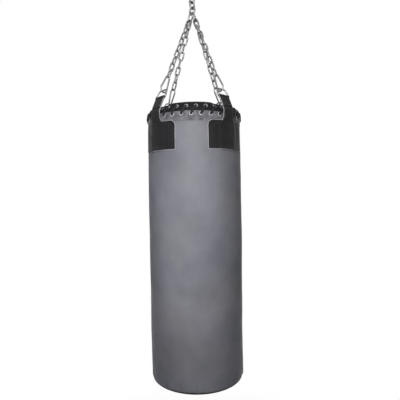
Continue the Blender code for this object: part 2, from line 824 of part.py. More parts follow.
def make_strap(shop, leg):
    """Doubled webbing: a loop round the D-ring's bar, sewn flat, its tail under the patch."""
    bar = leg.strap_free
    hole = RING_WIRE / 2 + STRAP_LOOP_GAP
    loop = hole + STRAP_PLY
    face = STRAP_PLY
    merge = bar - STRAP_LOOP_TAPER
    lap = face + STRAP_LAP_PLY
    outline = [(-STRAP_TAIL, -face), (merge, -face)]
    outline += [(bar + y, x) for x, y in arc((0, 0), loop, 200, -20, 6)]
    outline += [
        (merge, lap),
        (STRAP_LAP_START + STRAP_LAP_PLY, lap),
        (STRAP_LAP_START, face),
        (-STRAP_TAIL, face),
    ]
    hole_line = [(bar + y, x) for x, y in arc((0, 0), hole, 0, 315, 7)]
    curve = bpy.data.curves.new(f"strap_{leg.name}", "CURVE")
    curve.dimensions = "2D"
    curve.fill_mode = "BOTH"
    curve.extrude = STRAP_WIDTH / 2
    for points in (outline, hole_line):
        spline = curve.splines.new("POLY")
        spline.points.add(len(points) - 1)
        for point, place in zip(spline.points, points):
            point.co = (*place, 0.0, 1.0)
        spline.use_cyclic_u = True
    flat_strap = shop.as_mesh(bpy.data.objects.new(curve.name, curve))
    shape = bmesh.new()
    shape.from_mesh(flat_strap.data)
    bmesh.ops.triangulate(shape, faces=[f for f in shape.faces if len(f.verts) > 4])
    bend_cuts = [STRAP_BEND_REACH * (2 * i / 3 - 1) for i in range(4)]
    ramp_cuts = [
        -STRAP_BEND_HEIGHT - RAMP_TOP_DEPTH - (RAMP_FOOT_DEPTH - RAMP_TOP_DEPTH) * i / 2
        for i in range(3)
    ]
    cuts = [((x, 0, 0), (1, 0, 0)) for x in bend_cuts + ramp_cuts]
    cuts += [((0, 0, STRAP_WIDTH * share), (0, 0, 1)) for share in (-0.2, 0.2)]
    for place, direction in cuts:
        everything = shape.verts[:] + shape.edges[:] + shape.faces[:]
        bmesh.ops.bisect_plane(shape, geom=everything, dist=1e-6, plane_co=place, plane_no=direction)
    bmesh.ops.triangulate(shape, faces=shape.faces)
    for vert in shape.verts:
        along, offset, across = vert.co
        vert.co = strap_point(leg, along, offset, across)
    bmesh.ops.recalc_face_normals(shape, faces=shape.faces)
    shape.to_mesh(flat_strap.data)
    shape.free()
    shop.add(flat_strap, shop.webbing)


def patch_stand_off(across):
    """How far the patch stands off its seat on the shell to pass over the strap's tail."""
    beyond = abs(across) - STRAP_WIDTH / 2 - PATCH_BULGE_MARGIN
    over_strap = strap_thickness() + CLEARANCE
    return over_strap * (1 - smoothstep(beyond / PATCH_BULGE_FADE))


def make_patch(shop, leg):
    """Leather patch bent round the bag, with rounded upper corners, raised over the strap."""
    half = PATCH_WIDTH / 2
    raised = STRAP_WIDTH / 2 + PATCH_BULGE_MARGIN
    one_side = [
        raised,
        raised + PATCH_BULGE_FADE / 2,
        raised + PATCH_BULGE_FADE,
        half - PATCH_CORNER,
        *(half - PATCH_CORNER * share for share in PATCH_CORNER_COLUMNS),
        half,
    ]
    columns = [-x for x in reversed(one_side)] + [-raised / 3, raised / 3] + one_side
    shape = bmesh.new()
    bmesh.ops.create_grid(shape, x_segments=len(columns) - 1, y_segments=1, size=1)
    shape.verts.ensure_lookup_table()
    for vert in shape.verts:
        column = round((vert.co.x + 1) / 2 * (len(columns) - 1))
        share = (vert.co.y + 1) / 2
        across = columns[column]
        into_corner = max(abs(across) - (half - PATCH_CORNER), 0)
        corner_drop = PATCH_CORNER - math.sqrt(max(PATCH_CORNER**2 - into_corner**2, 0))
        top = RIM_Z - PATCH_TOP_DEPTH - min(corner_drop, PATCH_CORNER * PATCH_CORNER_DROP)
        foot = RIM_Z - PATCH_TOP_DEPTH - PATCH_HEIGHT
        z = foot + (top - foot) * share
        radius = shell_radius(z) + PATCH_SEAT + patch_stand_off(across)
        vert.co = around(leg.angle + across / shell_radius(z), radius, z)
    bmesh.ops.recalc_face_normals(shape, faces=shape.faces)
    if shape.faces[:][0].normal.dot(leg.radial) < 0:
        bmesh.ops.reverse_faces(shape, faces=shape.faces)
    patch = shop.solid(f"patch_{leg.name}", shape)
    shop.add(patch, shop.black_leather)
    wall = patch.modifiers.new("wall", "SOLIDIFY")
    wall.thickness = PATCH_WALL
    wall.offset = 1
    wall.use_even_offset = True


def lid_rings_by_holes():
    """Heights over the lid's edge of the two rings of its surface that lie just clear of the holes."""
    middle = UPPER_EYELET_HEIGHT - LID_LIFT
    reach = EYELET_HOLE / 2 + HOLE_RING_CLEARANCE
    return middle - reach, middle + reach


def lid_radius_at_holes(angle):
    return sum(lid_radius(angle, height) for height in lid_rings_by_holes()) / 2


def eyelet_angle(index):
    return FRONT_ANGLE + EYELET_STEP * index


def eyelet_cutter(shop, name, angles, radius, z):
    """All the punches of one row of eyelet holes as one mesh."""
    shape = bmesh.new()
    for angle in angles:
        aim = around(angle).to_track_quat("Z", "Y").to_matrix().to_4x4()
        place = Matrix.Translation(around(angle, radius, z)) @ aim
        bmesh.ops.create_cone(
            shape,
            cap_ends=True,
            segments=6,
            radius1=EYELET_HOLE / 2,
            radius2=EYELET_HOLE / 2,
            depth=PUNCH_LENGTH,
            matrix=place,
        )
    return shop.helper(shop.solid(name, shape))


def make_band(shop):
    inner = BAND_RADIUS - BAND_WALL
    profile = [
        (BAND_RADIUS, RIM_Z),
        (BAND_RADIUS, RIM_Z - BAND_HEIGHT),
        (inner, RIM_Z - BAND_HEIGHT),
        (inner, RIM_Z),
    ]
    start = FRONT_ANGLE + EYELET_STEP / 2
    band = shop.turned("top_band", profile, True, EYELET_COUNT, start)
    shop.add(band, shop.grey_leather)
    angles = [eyelet_angle(i) for i in range(EYELET_COUNT)]
    holes = eyelet_cutter(shop, "band_holes", angles, BAND_RADIUS, RIM_Z - LOWER_EYELET_DEPTH)
    shop.boolean(band, holes, "DIFFERENCE")


def make_lid(shop):
    outer_ring, inner_ring = (LID_FLAT_RADIUS * share for share in LID_TOP_RINGS)
    shoulder = [LID_HEIGHT * share for share in LID_SHOULDER_RINGS]
    heights = [0.0, *lid_rings_by_holes(), *shoulder]
    outer = [(lid_profile_radius(h), LID_LIFT + h) for h in heights]
    outer = [(outer_ring, LID_LIFT + LID_HEIGHT)] + outer[::-1]
    inner = [(r - LID_WALL, h) for r, h in outer[:-4:-1]]
    inner.append((inner_ring, LID_LIFT + LID_HEIGHT - LID_WALL))
    crown = LID_LIFT + LID_HEIGHT + LID_CROWN
    profile = [(0.0, crown)] + outer + inner + [(0.0, crown - LID_WALL)]
    shape = bmesh.new()
    verts = [shape.verts.new((r, 0.0, h)) for r, h in profile]
    edges = [shape.edges.new(pair) for pair in zip(verts, verts[1:])]
    start = FRONT_ANGLE
    bmesh.ops.rotate(shape, verts=verts, cent=(0, 0, 0), matrix=Matrix.Rotation(start, 3, "Z"))
    bmesh.ops.spin(
        shape,
        geom=verts + edges,
        cent=(0, 0, 0),
        axis=(0, 0, 1),
        angle=2 * math.pi,
        steps=EYELET_COUNT,
        use_merge=True,
    )
    bmesh.ops.remove_doubles(shape, verts=shape.verts, dist=0.00001)
    bmesh.ops.recalc_face_normals(shape, faces=shape.faces)
    for vert in shape.verts:
        radius = math.hypot(vert.co.x, vert.co.y)
        if radius < LID_FLAT_RADIUS:
            vert.co.z += RIM_Z
            continue
        angle = math.atan2(vert.co.y, vert.co.x)
        drawn = lid_drawn_in(angle, vert.co.z - LID_LIFT)
        reach = smoothstep((radius - LID_FLAT_RADIUS) / (LID_RADIUS - LID_FLAT_RADIUS) * 2)
        vert.co = around(angle, radius - drawn * reach, vert.co.z + RIM_Z)
    lid = shop.solid("lid", shape)
    shop.add(lid, shop.black_leather)
    angles = [eyelet_angle(i + 0.5) for i in range(EYELET_COUNT)]
    holes = eyelet_cutter(
        shop, "lid_holes", angles, LID_RADIUS, RIM_Z + UPPER_EYELET_HEIGHT
    )
    shop.boolean(lid, holes, "DIFFERENCE")


def make_lace(shop):
    """One closed cord: out of each band hole, up and over to the next lid hole, and back inside."""
    out = LACE_DIAMETER / 2 + LACE_STANDOFF
    points = []
    for index in range(EYELET_COUNT):
        low = eyelet_angle(index)
        high = eyelet_angle(index + 0.5)
        low_z = RIM_Z - LOWER_EYELET_DEPTH
        high_z = RIM_Z + UPPER_EYELET_HEIGHT
        middle_z = RIM_Z + STRAP_BEND_HEIGHT
        lid_outer = lid_radius_at_holes(high)
        rim = max(BAND_RADIUS, lid_radius((low + high) / 2, STRAP_BEND_HEIGHT))
        band_inner = BAND_RADIUS - BAND_WALL - out
        points.append(around(low, band_inner, low_z))
        points.append(around(low, BAND_RADIUS + out, low_z))
        points.append(around((low + high) / 2, rim + out, middle_z))
        points.append(around(high, lid_outer + out, high_z))
        points.append(around(high, lid_outer - LID_WALL - out, high_z))
    lace = shop.wire("lace", points, LACE_DIAMETER / 2, Matrix.Identity(4), sides=4)
    shop.add(lace, shop.cord)


def make_body(shop):
    steps = EYELET_COUNT
    foot_centre = (FOOT_RADIUS - CORNER_RADIUS, BASE_Z + CORNER_RADIUS)
    shell_top = RIM_Z - BAND_HEIGHT - CLEARANCE
    levels = 3
    straight = shell_top - foot_centre[1]
    outer = []
    for index in range(levels):
        z = shell_top - straight * index / levels
        outer.append((shell_radius(z), z))
    outer += arc(foot_centre, CORNER_RADIUS, 0, -90, 3)
    inner = arc(foot_centre, CORNER_RADIUS - SHELL_WALL, -90, 0, 1)
    belly_z = RIM_Z - BELLY_DEPTH
    inner += [(shell_radius(z) - SHELL_WALL, z) for z in (belly_z, shell_top)]
    shell = shop.turned("outer_shell", outer + inner, True, steps)
    shop.add(shell, shop.grey_leather)

    base_radius = foot_centre[0] - CLEARANCE
    base_top = BASE_Z + BASE_WALL
    base_profile = [
        (0.0, base_top),
        (base_radius, base_top),
        (base_radius, BASE_Z),
        (0.0, BASE_Z),
    ]
    shop.add(shop.turned("base_panel", base_profile, False, steps), shop.grey_leather)

    liner_top = RIM_Z - BAND_HEIGHT - LINER_TOP_GAP
    liner_foot = foot_centre[1]
    liner = [
        (shell_radius(z) - SHELL_WALL - LINER_GAP, z)
        for z in (liner_top, belly_z, (belly_z + liner_foot) / 2, liner_foot)
    ]
    liner += [(r - LINER_WALL, z) for r, z in (liner[-1], liner[1], liner[0])]
    shop.add(shop.turned("foam_liner", liner, True, INNER_SIDES), shop.foam)

    in_flap = FLAP_RADIUS - FLAP_WALL - FILLING_GAP
    in_liner = FOOT_RADIUS - SHELL_WALL - LINER_GAP - LINER_WALL
    core = min(in_liner, in_flap) - FILLING_GAP
    filling_top = RIM_Z + FLAP_RISE - FLAP_WALL - FILLING_GAP
    filling_foot = base_top + CLEARANCE
    filling = [
        (0.0, filling_top),
        (core - FILLING_SHOULDER, filling_top),
        (core, filling_top - FILLING_SHOULDER),
        (core, liner_foot),
        (core - FILLING_HEEL, filling_foot),
        (0.0, filling_foot),
    ]
    shop.add(shop.turned("filling", filling, False, INNER_SIDES), shop.textile)

    flap_top = RIM_Z + FLAP_RISE
    shoulder = (FLAP_RADIUS - FLAP_SHOULDER, flap_top - FLAP_SHOULDER)
    flap = [(0.0, flap_top)]
    flap += arc(shoulder, FLAP_SHOULDER, 90, 0, 2)
    flap += [
        (FLAP_RADIUS, flap_top - FLAP_SKIRT),
        (FLAP_RADIUS - FLAP_WALL, flap_top - FLAP_SKIRT),
    ]
    flap += arc(shoulder, FLAP_SHOULDER - FLAP_WALL, 0, 90, 2)
    flap.append((0.0, flap_top - FLAP_WALL))
    shop.add(shop.turned("inner_flap", flap, False, INNER_SIDES), shop.black_leather)


def add_pivot(shop, name, point, axis, parent=None):
    """Empty whose arrow is a joint's axis, carried by the pivot above it."""
    pivot = bpy.data.objects.new(name, None)
    pivot.empty_display_type = "SINGLE_ARROW"
    pivot.empty_display_size = PIVOT_ARROW
    shop.parts.objects.link(pivot)
    turn = axis.to_track_quat("Z", "Y").to_matrix().to_4x4()
    pivot.matrix_world = Matrix.Translation(point) @ turn
    if parent:
        carry(parent, pivot)
    return pivot


def carry(parent, child):
    """Parent the child where it stands."""
    child.parent = parent
    child.matrix_parent_inverse = parent.matrix_world.inverted()


def hang_on_pivots(shop):
    """Give every moving piece a pivot on its joint's axis, from the swivel down to the gates."""
    fixed = bpy.data.objects["swivel_eye"]
    pieces = [obj for obj in shop.parts.objects if obj != fixed]
    bow = add_pivot(shop, "bow_pivot", UP * BOSS_MIDDLE, UP)
    upper = add_pivot(shop, "upper_link_pivot", wire_below(BOW_SEAT, BOW_WIRE), BOW_AXIS, bow)
    middle = add_pivot(shop, "middle_link_pivot", wire_below(TOP_SEATS[1], TOP_WIRE), APEX_AXIS, upper)
    apex = add_pivot(shop, "apex_link_pivot", wire_below(TOP_SEATS[2], TOP_WIRE), BOW_AXIS, middle)
    bag = add_pivot(shop, "bag_pivot", bag_swing_centre(), APEX_AXIS, apex)
    carried = {
        "swivel_bow": bow,
        "top_link_upper": upper,
        "top_link_middle": middle,
        "apex_link": apex,
    }
    for name in LEGS:
        leg = Leg(name, CORNER_Z)
        hook = add_pivot(shop, f"hook_pivot_{name}", leg.at(sum(link_steps())), -leg.down, bag)
        rivet = gate_matrix(leg)
        gate = add_pivot(shop, f"gate_pivot_{name}", rivet.translation, rivet.to_3x3().col[2], hook)
        carried[f"snap_hook_{name}"] = hook
        carried[f"hook_gate_{name}"] = gate
    for piece in pieces:
        carry(carried.get(piece.name, bag), piece)
    for piece in [*pieces, fixed]:
        cutters = [m.object for m in piece.modifiers if m.type == "BOOLEAN"]
        for cutter in cutters:
            carry(piece, cutter)


def main():
    shop = Workshop()
    make_swivel(shop)
    make_top_strand(shop)
    make_yokes(shop)
    for name in LEGS:
        leg = Leg(name, CORNER_Z)
        make_leg_chain(shop, leg)
        make_snap_hook(shop, leg)
        make_d_ring(shop, leg)
        make_strap(shop, leg)
        make_patch(shop, leg)
    make_band(shop)
    make_lid(shop)
    make_lace(shop)
    make_body(shop)
    bpy.context.view_layer.update()
    hang_on_pivots(shop)
    sling = TOP_SEATS[-1] - RIM_Z
    print(f"rim {RIM_Z:.4f}  base {BASE_Z:.4f}  sling height {sling:.4f}")


if __name__ == "__main__":
    main()
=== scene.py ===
# Laced heavy bag on its chain sling: looks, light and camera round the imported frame.
# Metres, Z up. The swivel's upper seat is the origin and the bag hangs below it.

import json
import math

import bmesh
import bpy
from mathutils import Matrix, Vector, geometry, noise

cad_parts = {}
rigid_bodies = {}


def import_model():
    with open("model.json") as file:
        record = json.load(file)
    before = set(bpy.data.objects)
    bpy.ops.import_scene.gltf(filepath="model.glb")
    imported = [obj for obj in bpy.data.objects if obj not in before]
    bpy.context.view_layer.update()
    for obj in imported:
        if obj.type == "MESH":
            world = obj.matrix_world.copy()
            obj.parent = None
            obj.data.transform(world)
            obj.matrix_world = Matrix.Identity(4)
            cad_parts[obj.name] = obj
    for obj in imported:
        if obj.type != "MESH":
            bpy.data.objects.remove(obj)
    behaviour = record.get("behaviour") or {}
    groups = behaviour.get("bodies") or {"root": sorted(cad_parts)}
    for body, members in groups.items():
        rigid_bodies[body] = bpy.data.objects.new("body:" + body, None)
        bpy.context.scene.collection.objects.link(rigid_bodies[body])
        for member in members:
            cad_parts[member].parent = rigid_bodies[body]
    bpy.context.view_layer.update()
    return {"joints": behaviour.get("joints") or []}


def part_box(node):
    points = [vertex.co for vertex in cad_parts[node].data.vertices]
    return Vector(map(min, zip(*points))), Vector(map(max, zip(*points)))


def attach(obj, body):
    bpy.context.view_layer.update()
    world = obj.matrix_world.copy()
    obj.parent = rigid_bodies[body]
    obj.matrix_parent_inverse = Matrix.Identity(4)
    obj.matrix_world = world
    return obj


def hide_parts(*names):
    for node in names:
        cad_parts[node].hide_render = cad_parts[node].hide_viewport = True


for leftOver in list(bpy.data.objects):
    bpy.data.objects.remove(leftOver)
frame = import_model()
print("Frame loaded")

joints = {joint["name"]: joint for joint in frame["joints"]}
up = Vector((0, 0, 1))
quarter = math.radians(90)
frontAngle = -quarter
clearance = 0.0003
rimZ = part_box("top_band")[1].z
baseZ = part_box("base_panel")[0].z


def smoothstep(value):
    t = min(max(value, 0.0), 1.0)
    return t * t * (3 - 2 * t)


def mix(low, high, share):
    return low + (high - low) * share


def bell(*offsets, power=2):
    # 1 where every offset is 0, fading out round it; a higher power has a flatter top
    return math.exp(-sum(offset**power for offset in offsets))


def around(angle, radius=1.0, z=0.0):
    return Vector((radius * math.cos(angle), radius * math.sin(angle), z))


def frameAlong(origin, y, across):
    # matrix with this Y, and X as near across as it can be
    y = y.normalized()
    x = (across - y * across.dot(y)).normalized()
    made = Matrix((x, y, x.cross(y))).transposed().to_4x4()
    made.translation = origin
    return made


def waves(point, *layers):
    # smooth noise in layers of (size of the lumps, seed, height)
    total = 0.0
    for size, seed, height in layers:
        total += noise.noise(point / size + Vector((seed, seed * 1.7, seed * 0.6))) * height
    return total


bag = {
    "height": 0.967,
    "topRadius": 0.1738,
    "bellyRadius": 0.1762,
    "footRadius": 0.1732,
    "bellyDepth": 0.27,
    "corner": 0.018,
    "bandRadius": 0.1745,
    "bandHeight": 0.035,
    "bandWall": 0.003,
    "eyelets": 32,
    "lowerRow": 0.010,  # below the rim
    "upperRow": 0.017,  # above the rim
    "lidRadius": 0.1752,
    "lidFlat": 0.100,
    "lidHeight": 0.041,
    "lidCrown": 0.002,
    "lidPower": 3.2,
    "lidWall": 0.003,
    "lidLift": 0.001,
    "laceWire": 0.005,
    "laceStandOff": 0.0004,
}

strap = {
    "width": 0.048,
    "ply": 0.002,
    "tail": 0.118,
    "bendHeight": 0.006,
    "bendReach": 0.012,
    "lapPly": 0.0016,
    "lapStart": 0.016,
    "lapPastMerge": 0.004,
    "lapInset": 0.0005,
    "rampTop": 0.015,
    "rampFoot": 0.029,
    "loopGap": 0.0004,
    "loopTaper": 0.0118,
    "steps": 44,
}

cornerZ = rimZ + strap["bendHeight"]
strapHalf = strap["ply"]  # half the thickness of two plies
strapAtCorner = bag["bandRadius"] + bag["laceWire"] + 2 * bag["laceStandOff"] + clearance + strapHalf
legAngles = {
    "front_right": math.radians(-45),
    "front_left": math.radians(-135),
    "back_right": math.radians(45),
    "back_left": math.radians(135),
}
eyeletStep = 2 * math.pi / bag["eyelets"]


def shellRadius(z):
    # widest at the belly, drawn in to the rim and to the foot
    depth, belly = rimZ - z, bag["bellyDepth"]
    if depth < belly:
        return mix(bag["topRadius"], bag["bellyRadius"], math.sin(quarter * max(depth, 0) / belly))
    share = math.cos(quarter * (depth - belly) / (bag["height"] - belly)) ** 2
    return mix(bag["footRadius"], bag["bellyRadius"], share)


def strapRadius(z):
    # middle of the doubled strap: on the shell below, over the lace at the rim
    onShell = max(shellRadius(z), bag["bandRadius"]) + clearance + strapHalf
    rise = smoothstep((strap["rampFoot"] - (rimZ - z)) / (strap["rampFoot"] - strap["rampTop"]))
    return mix(onShell, strapAtCorner, rise)


def nearestStrap(angle):
    # how far round the bag the nearest strap's middle is, in radians
    return min(abs((angle - a + math.pi) % (2 * math.pi) - math.pi) for a in legAngles.values())


def eyeletPhase(angle, shift=0.0):
    # turn from the nearest upper eyelet, in steps; a shift of a half counts from the lower row
    return ((angle - frontAngle) / eyeletStep + shift) % 1 - 0.5


def underEyelet(phase, offRow):
    # 1 where the leather lies flat under an eyelet, 0 beyond it
    return bell(phase * 3.6, offRow / 0.009, power=4)


class Signal:
    # one output socket, so that shader sums read as sums
    def __init__(self, socket):
        self.socket = socket
        self.tree = socket.id_data

    def node(self, kind, settings=None, inputs=None, output=0):
        made = self.tree.nodes.new("ShaderNode" + kind)
        for name, value in (settings or {}).items():
            setattr(made, name, value)
        for name, value in (inputs or {}).items():
            if isinstance(value, Signal):
                self.tree.links.new(value.socket, made.inputs[name])
            else:
                made.inputs[name].default_value = value
        return Signal(made.outputs[output])

    def calc(self, operation, first, second):
        return self.node("Math", {"operation": operation}, {0: first, 1: second})

    def __add__(self, other):
        return self.calc("ADD", self, other)

    def __sub__(self, other):
        return self.calc("SUBTRACT", self, other)

    def __rsub__(self, other):
        return self.calc("SUBTRACT", other, self)

    def __mul__(self, other):
        return self.calc("MULTIPLY", self, other)

    __radd__ = __add__
    __rmul__ = __mul__

    def noise(self, scale, detail=2.0, roughness=0.5):
        inputs = {"Vector": self, "Scale": scale, "Detail": detail, "Roughness": roughness}
        return self.node("TexNoise", None, inputs)

    def cells(self, feature, scale, output=0, **more):
        inputs = {"Vector": self, "Scale": scale, **more}
        return self.node("TexVoronoi", {"feature": feature}, inputs, output)

    def spread(self, low, high, toLow=0.0, toHigh=1.0):
        # stretches the range low to high
        ends = {"From Min": low, "From Max": high, "To Min": toLow, "To Max": toHigh}
        return self.node("MapRange", {"clamp": True}, {"Value": self, **ends})

    def pick(self, first, second):
        # colour between the two, by this value
        return self.node("Mix", {"data_type": "RGBA"}, {0: self, 6: first, 7: second}, output=2)

    def bump(self, strength, distance, under=None):
        inputs = {"Height": self, "Strength": strength, "Distance": distance}
        if under:
            inputs["Normal"] = under
        return self.node("Bump", None, inputs)


def grey(value, blue=0.0):
    # written colour, 0 to 255 as on a screen, with a lean to blue
    def linear(v):
        v = v / 255
        return v / 12.92 if v <= 0.04045 else ((v + 0.055) / 1.055) ** 2.4

    return (linear(value), linear(value + blue * 0.1), linear(value + blue), 1.0)


def newFinish(name, roughness, **constants):
    material = bpy.data.materials.new(name)
    material.use_nodes = True
    shader = material.node_tree.nodes["Principled BSDF"]
    shader.inputs["Roughness"].default_value = roughness
    for socket, value in constants.items():
        shader.inputs[socket.replace("_", " ")].default_value = value
    coordinates = material.node_tree.nodes.new("ShaderNodeTexCoord")
    return material, shader, Signal(coordinates.outputs["Object"])


def feed(shader, **signals):
    for socket, signal in signals.items():
        signal.tree.links.new(signal.socket, shader.inputs[socket.replace("_", " ")])


# painted shade for the foot's creases: where it starts and where it is full over the base, its upright
# stretch, size and colour
paintedFootShade = {"top": 0.05, "full": 0.012, "stretch": 0.16, "scale": 75.0, "colour": grey(52, 3)}


def leatherFinish(name, look):
    # pebbled hide: cells for the grain, creases between them, slow changes of tone and gloss
    material, shader, place = newFinish(name, look["roughness"], Specular_IOR_Level=look["specular"])
    tone = place.noise(look["cloudScale"], 3.0, 0.55).spread(0.32, 0.68)
    drift = place.node("Mapping", None, {"Vector": place, "Location": (3.1, 1.7, 0.4)})
    cast = drift.noise(look["castScale"], 1.5).spread(0.3, 0.7)
    pebble = place.cells("SMOOTH_F1", look["pebbleScale"], Smoothness=0.6)
    crease = place.cells("DISTANCE_TO_EDGE", look["pebbleScale"]).spread(0.0, 0.12)
    fine = place.noise(look["pebbleScale"] * 3.1, 3.0)
    scuff = place.noise(look["scuffScale"], 6.0, 0.7).spread(0.62, 0.78)
    cool = tone.pick(look["dark"], look["light"])
    warm = tone.pick(look["darkWarm"], look["lightWarm"])
    colour = cast.pick(cool, warm)
    colour = (scuff * look["scuff"]).pick(colour, look["worn"])
    colour = ((1 - crease) * look["creaseShade"]).pick(colour, look["dark"])
    if "footShadeShare" in look:
        # painted shade of short upright creases: darker streaks in the last few centimetres over the base
        # seam
        upright = {"Vector": place, "Scale": (1.0, 1.0, paintedFootShade["stretch"])}
        shadeStreak = place.node("Mapping", None, upright).noise(paintedFootShade["scale"], 3.0, 0.6).spread(0.52, 0.66)
        foot = place.node("SeparateXYZ", None, {"Vector": place}, output=2)
        foot = foot.spread(baseZ + paintedFootShade["top"], baseZ + paintedFootShade["full"])
        colour = (shadeStreak * foot * look["footShadeShare"]).pick(colour, paintedFootShade["colour"])
    change = look["glossChange"]
    gloss = place.noise(look["cloudScale"] * 2.3, 2.0).spread(0.35, 0.7, -change, change)
    height = (1 - pebble) * 0.5 + crease * 0.6 + fine * 0.25
    soft = place.noise(look["rippleScale"], 2.0).bump(look["ripple"], 0.006)
    feed(
        shader,
        Base_Color=colour,
        Roughness=gloss + scuff * 0.08 + look["roughness"],
        Normal=height.bump(look["grain"], 0.0004, soft),
    )
    return material


greyLook = {
    "dark": grey(115, 9),
    "light": grey(134, 10),
    "darkWarm": grey(117, 3),
    "lightWarm": grey(135, 3),
    "worn": grey(146, 5),
    "roughness": 0.46,
    "specular": 0.045,
    "glossChange": 0.05,
    "cloudScale": 7.0,
    "castScale": 4.0,
    "pebbleScale": 520.0,
    "scuffScale": 24.0,
    "scuff": 0.25,
    "creaseShade": 0.25,
    "rippleScale": 30.0,
    "ripple": 0.06,
    "grain": 0.22,
}
hemLook = {
    **greyLook,
    "dark": grey(88, 5),
    "light": grey(127, 6),
    "darkWarm": grey(90, 2),
    "lightWarm": grey(128, 2),
    "cloudScale": 60.0,
    "castScale": 20.0,
    "scuffScale": 70.0,
    "rippleScale": 95.0,
    "ripple": 0.5,
}
blackLook = {
    **greyLook,
    "dark": grey(26, 2),
    "light": grey(34, 2),
    "darkWarm": grey(27, 0),
    "lightWarm": grey(35, 1),
    "worn": grey(54, 2),
    "roughness": 0.52,
    "specular": 0.12,
    "cloudScale": 11.0,
    "scuff": 0.3,
    "creaseShade": 0.4,
    "grain": 0.3,
    "ripple": 0.08,
}
lidLook = {**blackLook, "roughness": 0.56, "specular": 0.08, "ripple": 0.14, "rippleScale": 22.0}
edgeLook = {
    **greyLook,
    "dark": grey(150, 3),
    "light": grey(176, 4),
    "darkWarm": grey(152, 1),
    "lightWarm": grey(178, 1),
    "worn": grey(190, 2),
    "roughness": 0.7,
    "specular": 0.25,
    "pebbleScale": 1400.0,
}


def zincFinish(name, low, high, worn, roughness):
    # zinc plate: blotches of passivation and dull rubbed spots
    material, shader, place = newFinish(name, roughness, Metallic=1.0, Specular_Tint=grey(95))
    blotch = place.noise(240.0, 4.0, 0.6).spread(0.3, 0.75)
    grime = place.noise(75.0, 5.0, 0.65).spread(0.54, 0.72)
    speck = place.noise(1400.0, 2.0)
    feed(
        shader,
        Base_Color=(grime * 0.4).pick(blotch.pick(low, high), worn),
        Roughness=blotch * 0.12 + grime * 0.16 + roughness,
        Normal=(speck * 0.4 + blotch).bump(0.22, 0.0003),
    )
    return material


def cordFinish():
    # polished polyester lace: fine plaits that follow the cord's own length
    material, shader, place = newFinish("blackCord", 0.62, Specular_IOR_Level=0.2)
    run = Signal(material.node_tree.nodes["Texture Coordinate"].outputs["UV"])
    bands = {"wave_type": "BANDS", "bands_direction": "DIAGONAL"}
    across = run.node("TexWave", bands, {"Vector": run, "Scale": 5.0, "Distortion": 0.6})
    fuzz = place.noise(2200.0, 3.0)
    feed(
        shader,
        Base_Color=(across * 0.7 + fuzz * 0.3).pick(grey(14, 1), grey(36, 2)),
        Roughness=fuzz * 0.2 + 0.5,
        Normal=(across + fuzz * 0.3).bump(0.4, 0.0005),
    )
    return material


def threadFinish(name, dark, light):
    material, shader, place = newFinish(name, 0.6, Specular_IOR_Level=0.4)
    strands = place.noise(3000.0, 2.0)
    feed(shader, Base_Color=strands.pick(dark, light), Normal=strands.bump(0.4, 0.0002))
    return material


def foamFinish():
    material, shader, place = newFinish("foam", 0.95, Specular_IOR_Level=0.15)
    pores = place.cells("F1", 700.0)
    colour = place.noise(20.0, 3.0).pick(grey(214, -18), grey(226, -14))
    feed(shader, Base_Color=(pores * 0.6).pick(colour, grey(188, -22)), Normal=pores.bump(0.6, 0.0008))
    return material


def ragFinish():
    # shredded cloth packed hard: patches of mixed colour with threads across them
    material, shader, place = newFinish("ragFilling", 0.98, Specular_IOR_Level=0.1)
    scrap = place.cells("F1", 26.0, output=1)
    tint = scrap.node("HueSaturation", None, {"Color": scrap, "Saturation": 0.25, "Value": 0.55})
    thread = place.noise(900.0, 4.0, 0.7)
    feed(shader, Base_Color=(thread * 0.5).pick(tint, grey(120, -6)), Normal=thread.bump(0.8, 0.0015))
    return material


finishes = {
    # the grey shell carries the painted crease shade at its foot
    "greyLeather": leatherFinish("greyLeather", {**greyLook, "footShadeShare": 0.22}),
    "hemLeather": leatherFinish("hemLeather", hemLook),
    "blackLeather": leatherFinish("blackLeather", blackLook),
    "lidLeather": leatherFinish("lidLeather", lidLook),
    "cutEdge": leatherFinish("cutEdge", edgeLook),
    "zinc": zincFinish("zincSteel", grey(130, 2), grey(166, 1), grey(76, 1), 0.22),
    "eyeletMetal": zincFinish("eyeletMetal", grey(150, 3), grey(184, 2), grey(108, 1), 0.62),
    "cord": cordFinish(),
    "blackThread": threadFinish("blackThread", grey(40, 1), grey(74, 2)),
    "greyThread": threadFinish("greyThread", grey(100, 5), grey(138, 5)),
    "tackThread": threadFinish("tackThread", grey(10, 0), grey(26, 1)),
    "foam": foamFinish(),
    "rags": ragFinish(),
}
print("Finishes made")


def linked(name, shape):
    # a bmesh as an object in the scene
    mesh = bpy.data.meshes.new(name)
    shape.to_mesh(mesh)
    shape.free()
    made = bpy.data.objects.new(name, mesh)
    bpy.context.scene.collection.objects.link(made)
    return made


def finishPiece(name, shape, finish, body, replaced=(), smoothBelow=45):
    # a bmesh in the part's coordinates becomes a piece that rides on its body
    bmesh.ops.recalc_face_normals(shape, faces=shape.faces)
    made = linked(name, shape)
    for one in [finish] if isinstance(finish, str) else finish:
        made.data.materials.append(finishes[one])
    made.data.shade_smooth()
    made.data.set_sharp_from_angle(angle=math.radians(smoothBelow))
    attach(made, body)
    if replaced:
        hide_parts(*replaced)
    return made


def steelPiece(name, shape, body, node, smoothBelow=45):
    finishPiece(name, shape, "zinc", body, [node], smoothBelow)


def booleaned(operation, shape, *others):
    # Blender's boolean between closed bmeshes, one after another
    for other in others:
        for one in (shape, other):
            bmesh.ops.recalc_face_normals(one, faces=one.faces)
        target, tool = linked("target", shape), linked("tool", other)
        modifier = target.modifiers.new("boolean", "BOOLEAN")
        modifier.operation = operation
        modifier.object = tool
        modifier.solver = "EXACT"
        bpy.context.view_layer.update()
        shape = bmesh.new()
        shape.from_object(target, bpy.context.evaluated_depsgraph_get())
        bpy.data.objects.remove(target)
        bpy.data.objects.remove(tool)
    return shape


